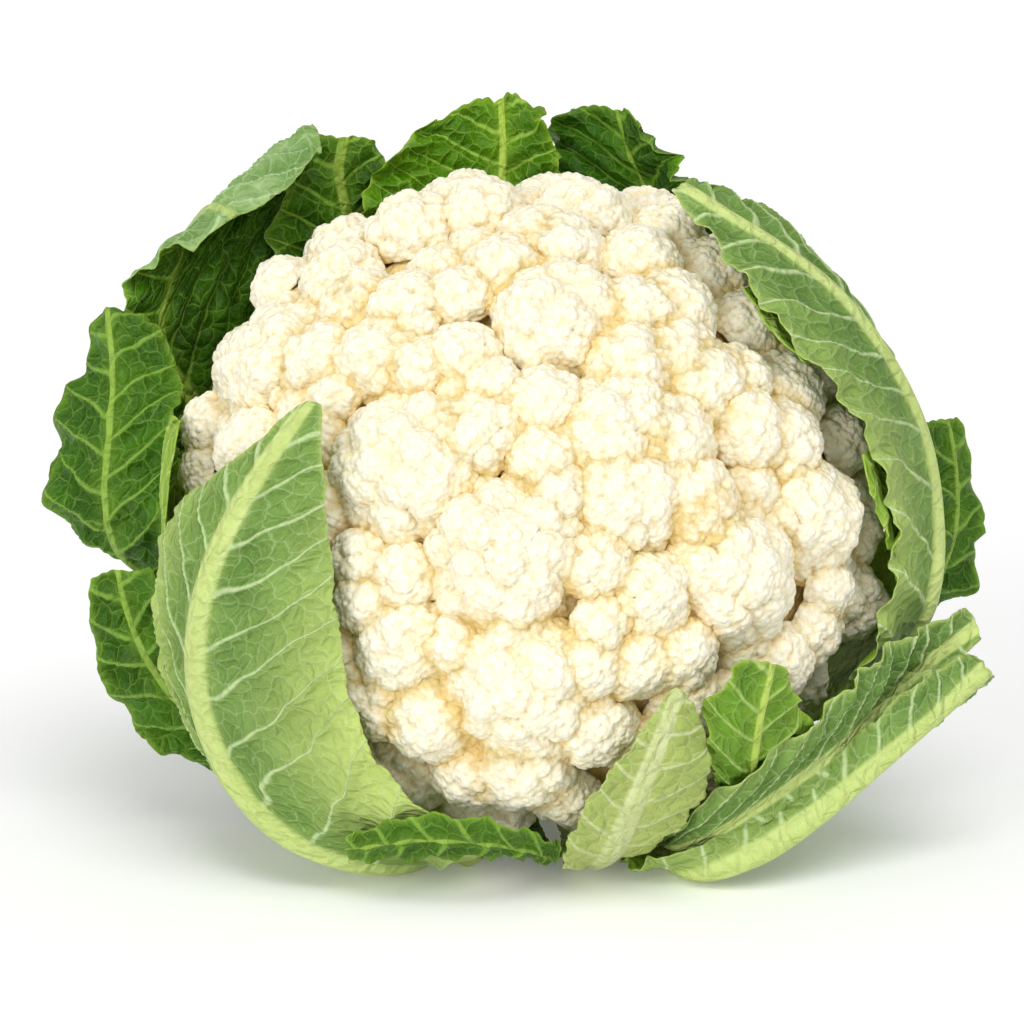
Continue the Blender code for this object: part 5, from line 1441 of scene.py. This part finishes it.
@dataclass
class Stalk:
    """The stalk, its cut end, and the limbs that branch from it under the curd."""

    radius: float = 25.0
    sides: int = 72
    limbs: int = 13
    flesh: StalkFlesh = field(default_factory=StalkFlesh)

    def build(self) -> list[bpy.types.Object]:
        """Makes the trunk and the branching foot."""
        material = self.flesh.make()
        trunk = self.trunk()
        trunk.materials.append(material)
        foot = self.foot()
        foot.materials.append(material)
        return [place_piece("dressed_stalk", trunk, "stalk"),
                place_piece("curd_foot", foot)]

    def trunk(self) -> bpy.types.Mesh:
        """The trunk: a closed tube along the head's axis with leaf scars round it."""
        shape = bmesh.new()
        length = HEAD.stalk_top - HEAD.stalk_butt
        bmesh.ops.create_cone(shape, cap_ends=True, segments=self.sides, radius1=1.0,
                              radius2=1.0, depth=2.0)
        sides = [edge for edge in shape.edges if abs(edge.verts[0].co.z - edge.verts[1].co.z) > 1]
        bmesh.ops.subdivide_edges(shape, edges=sides, cuts=40)
        for z in (-1.0, 1.0):
            cap = [face for face in shape.faces if len(face.verts) == self.sides
                   and abs(face.calc_center_median().z - z) < 0.1]
            for _ in range(9):
                bmesh.ops.inset_region(shape, faces=cap, thickness=0.1, use_even_offset=True)
        mesh = to_mesh(shape, "stalk_trunk")
        local = points_of(mesh)
        turn = np.arctan2(local[:, 1], local[:, 0])
        ring = np.linalg.norm(local[:, :2], axis=1)
        height = HEAD.stalk_butt + (local[:, 2] + 1) / 2 * length
        spot = np.stack([np.cos(turn) * 18, np.sin(turn) * 18, height], axis=1)
        scar = 0.6 * np.sin(height / 3.1 + 1.5 * np.sin(turn * 3)) + 0.9 * drift(spot, 11.0, 21)
        size = self.radius - 1.0 + scar * np.clip(ring * 3 - 2, 0, 1)
        size = size - 1.5 * np.clip((height - HEAD.stalk_butt) / length, 0, 1)
        end = np.abs(np.abs(local[:, 2]) - 1) < 1e-3
        cut = end & (ring < 0.97)
        size = size - 0.8 * end
        height = height + cut * 0.35 * drift(spot * ring[:, None], 5.0, 23)
        place = np.stack([ring * size * np.cos(turn), ring * size * np.sin(turn), height], axis=1)
        world = HEAD.to_world(place)
        world[:, 2] = np.maximum(world[:, 2], 0.0)
        woody = cut * np.clip(1.15 - ring**6, 0, 1)
        move_points(mesh, world, "stalk_place", np.stack([turn * 25, height, woody], axis=1))
        return mesh

    def foot(self) -> bpy.types.Mesh:
        """The limbs from the stalk's top out to the underside of the florets."""
        shape = bmesh.new()
        ends = []
        for _ in range(self.limbs):
            before = len(shape.verts)
            bmesh.ops.create_cone(shape, cap_ends=True, segments=20, radius1=1.0, radius2=1.0,
                                  depth=2.0)
            shape.verts.ensure_lookup_table()
            fresh = shape.verts[before:]
            sides = [edge for edge in {e for v in fresh for e in v.link_edges}
                     if abs(edge.verts[0].co.z - edge.verts[1].co.z) > 1]
            bmesh.ops.subdivide_edges(shape, edges=sides, cuts=14)
            ends.append(len(shape.verts))
        mesh = to_mesh(shape, "curd_foot")
        local = points_of(mesh)
        limb = np.searchsorted(ends, np.arange(len(local)), side="right")
        along = (local[:, 2] + 1) / 2
        turn = np.arctan2(local[:, 1], local[:, 0])
        azimuth = limb * 2 * math.pi / self.limbs + 0.4 * np.sin(limb * 2.3)
        centre_limb = limb == self.limbs - 1
        reach = np.where(centre_limb, 0.0, 9 + 46 * along**1.25)
        height = HEAD.stalk_top + 0.5 + (34 + 6 * np.sin(limb * 1.7)) * along
        uneven = 1.2 * np.sin(turn * 3 + limb)
        thick = np.where(centre_limb, 23 + 10 * along, 12.5 + 3.5 * along + uneven)
        radial = np.stack([np.cos(azimuth), np.sin(azimuth), 0 * azimuth], axis=1)
        side = np.stack([-np.sin(azimuth), np.cos(azimuth), 0 * azimuth], axis=1)
        ring = np.linalg.norm(local[:, :2], axis=1)
        place = radial * (reach + thick * ring * np.cos(turn))[:, None] \
            + side * (thick * ring * np.sin(turn))[:, None]
        place[:, 2] = height
        store_at = np.stack([turn * 12, height, 0 * ring], axis=1)
        move_points(mesh, HEAD.to_world(place), "stalk_place", store_at)
        return mesh


@dataclass
class Basket:
    """All the leaves, laid on one another from the innermost out."""

    # Millimetres: the air between leaves, the air round the stalk, and how far the thickness
    # may reach under the floor before a sheet is raised.
    LEAF_GAP = 0.7
    STALK_ROOM = 0.8
    FLAT = 0.4
    # The steepest step from a moved point to its neighbours, and the distance without one.
    STEEPEST = 0.35
    FACET = 7.0
    # The points that stand for a floret, and how much larger than it they are spread.
    FLORET_POINTS = 400
    FLORET_ROOM = 1.08

    def off_axis(self, points: np.ndarray) -> tuple[np.ndarray, np.ndarray]:
        """The direction out from the head's axis to each point, and the distance."""
        away = points - HEAD.centre
        spread = away - (away @ HEAD.axes[2])[..., None] * HEAD.axes[2]
        return unit(spread), np.linalg.norm(spread, axis=-1)

    def off_stalk(self, points: np.ndarray) -> np.ndarray:
        """Moves a sheet out of the stalk's way."""
        dense = refined(points)
        low = (dense - HEAD.centre) @ HEAD.axes[2] < HEAD.stalk_top
        room = np.where(low, HEAD.stalk_radius + self.STALK_ROOM, 0.0)
        need = room - self.off_axis(dense)[1]
        return points + eased(points, dense, need)[..., None] * self.off_axis(points)[0]

    def off_floor(self, points: np.ndarray, thickness: np.ndarray) -> np.ndarray:
        """Raises a sheet so that its outer face reaches no lower than the floor."""
        outer = points + sheet_normals(points) * thickness[..., None]
        lift = eased(points, points, -self.FLAT - outer[..., 2])
        return points + lift[..., None] * np.array([0.0, 0.0, 1.0])

    def build(self, florets: list) -> list[bpy.types.Object]:
        """Lays the leaves and makes their pieces.

        Args:
            florets: The curd's florets, which the leaves are kept clear of.

        Returns:
            The leaves' objects.
        """
        finishes = {key: skin.make() for key, skin in SKINS.items()}
        cover = Cover()
        for centre, radius, _ in florets:
            ball = golden_points(self.FLORET_POINTS, 0.0) * radius * self.FLORET_ROOM
            cover.lay(HEAD.to_world(centre + ball))
        pieces = []
        for seed, leaf in enumerate(leaves()):
            points, thickness = leaf.sheet()
            points = relaxed(cover.lift(points, self.LEAF_GAP))
            points = self.off_floor(self.off_stalk(cover.lift(points, self.LEAF_GAP)), thickness)
            cover.lay(refined(points + sheet_normals(points) * thickness[..., None]))
            pieces.append(LeafPiece(leaf, points, seed, finishes).build())
        return pieces


@dataclass
class Studio:
    """A white studio: a pale floor that runs out of sight, soft light and the camera."""

    # Millimetres: the sensor's width, the camera's distance, and the picture's width there.
    sensor: float = 36.0
    distance: float = 1000.0
    picture: float = 250.9
    world: float = 0.52
    # The floor is a white panel lit a little from below, as product tables are.
    floor_glow: float = 0.1

    def build(self) -> None:
        """Makes the floor, the lights and the camera."""
        self.floor()
        self.lights()
        self.camera()
        bpy.context.scene.view_settings.view_transform = "Standard"

    def floor(self) -> None:
        """The pale floor."""
        shape = bmesh.new()
        bmesh.ops.create_grid(shape, x_segments=1, y_segments=1, size=6.0)
        mesh = to_mesh(shape, "studio_floor")
        # Matt white acrylic: bright, without a mirror image of the head.
        material, _, shader = start_material("studio_floor_lit_acrylic")
        shader.inputs["Base Color"].default_value = linear("#FCFCFC")
        shader.inputs["Emission Color"].default_value = linear("#FFFFFF")
        shader.inputs["Emission Strength"].default_value = self.floor_glow
        shader.inputs["Roughness"].default_value = 0.9
        mesh.materials.append(material)
        floor = bpy.data.objects.new("studio_floor", mesh)
        bpy.context.scene.collection.objects.link(floor)

    def lights(self) -> None:
        """White surroundings, a wide soft light from above and a gentle one from the left."""
        world = bpy.data.worlds.new("studio")
        world.use_nodes = True
        back = world.node_tree.nodes["Background"]
        back.inputs["Color"].default_value = (1.0, 1.0, 1.0, 1.0)
        back.inputs["Strength"].default_value = self.world
        bpy.context.scene.world = world
        for name, place, spread, strength in (("light_above", (0.2, -0.6, 1.0), 40.0, 1.35),
                                              ("light_left", (-0.9, -1.3, 0.45), 35.0, 1.25)):
            light = bpy.data.lights.new(name, "SUN")
            light.angle = math.radians(spread)
            light.energy = strength
            lamp = bpy.data.objects.new(name, light)
            lamp.location = place
            lamp.rotation_euler = Vector(place).to_track_quat("Z", "Y").to_euler()
            bpy.context.scene.collection.objects.link(lamp)

    def camera(self) -> None:
        """The camera, a metre off and a little above, as in the photograph."""
        right, rise, toward = (Vector(row) for row in HEAD.view)
        data = bpy.data.cameras.new("camera")
        data.sensor_width = self.sensor
        data.lens = self.sensor * self.distance / self.picture
        data.clip_start = 0.01
        camera = bpy.data.objects.new("camera", data)
        middle = Vector(HEAD.centre * MM) - right * 0.0044 - rise * 0.0022
        camera.location = middle + toward * (self.distance * MM)
        camera.rotation_euler = toward.to_track_quat("Z", "Y").to_euler()
        bpy.context.scene.collection.objects.link(camera)
        bpy.context.scene.camera = camera


def main() -> None:
    """Builds the head and its studio."""
    logging.basicConfig(level=logging.INFO)
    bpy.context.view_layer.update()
    curd = Curd()
    curd.build()
    Stalk().build()
    Basket().build(curd.florets(curd.fill_radii))
    Studio().build()


if __name__ == "__main__":
    main()
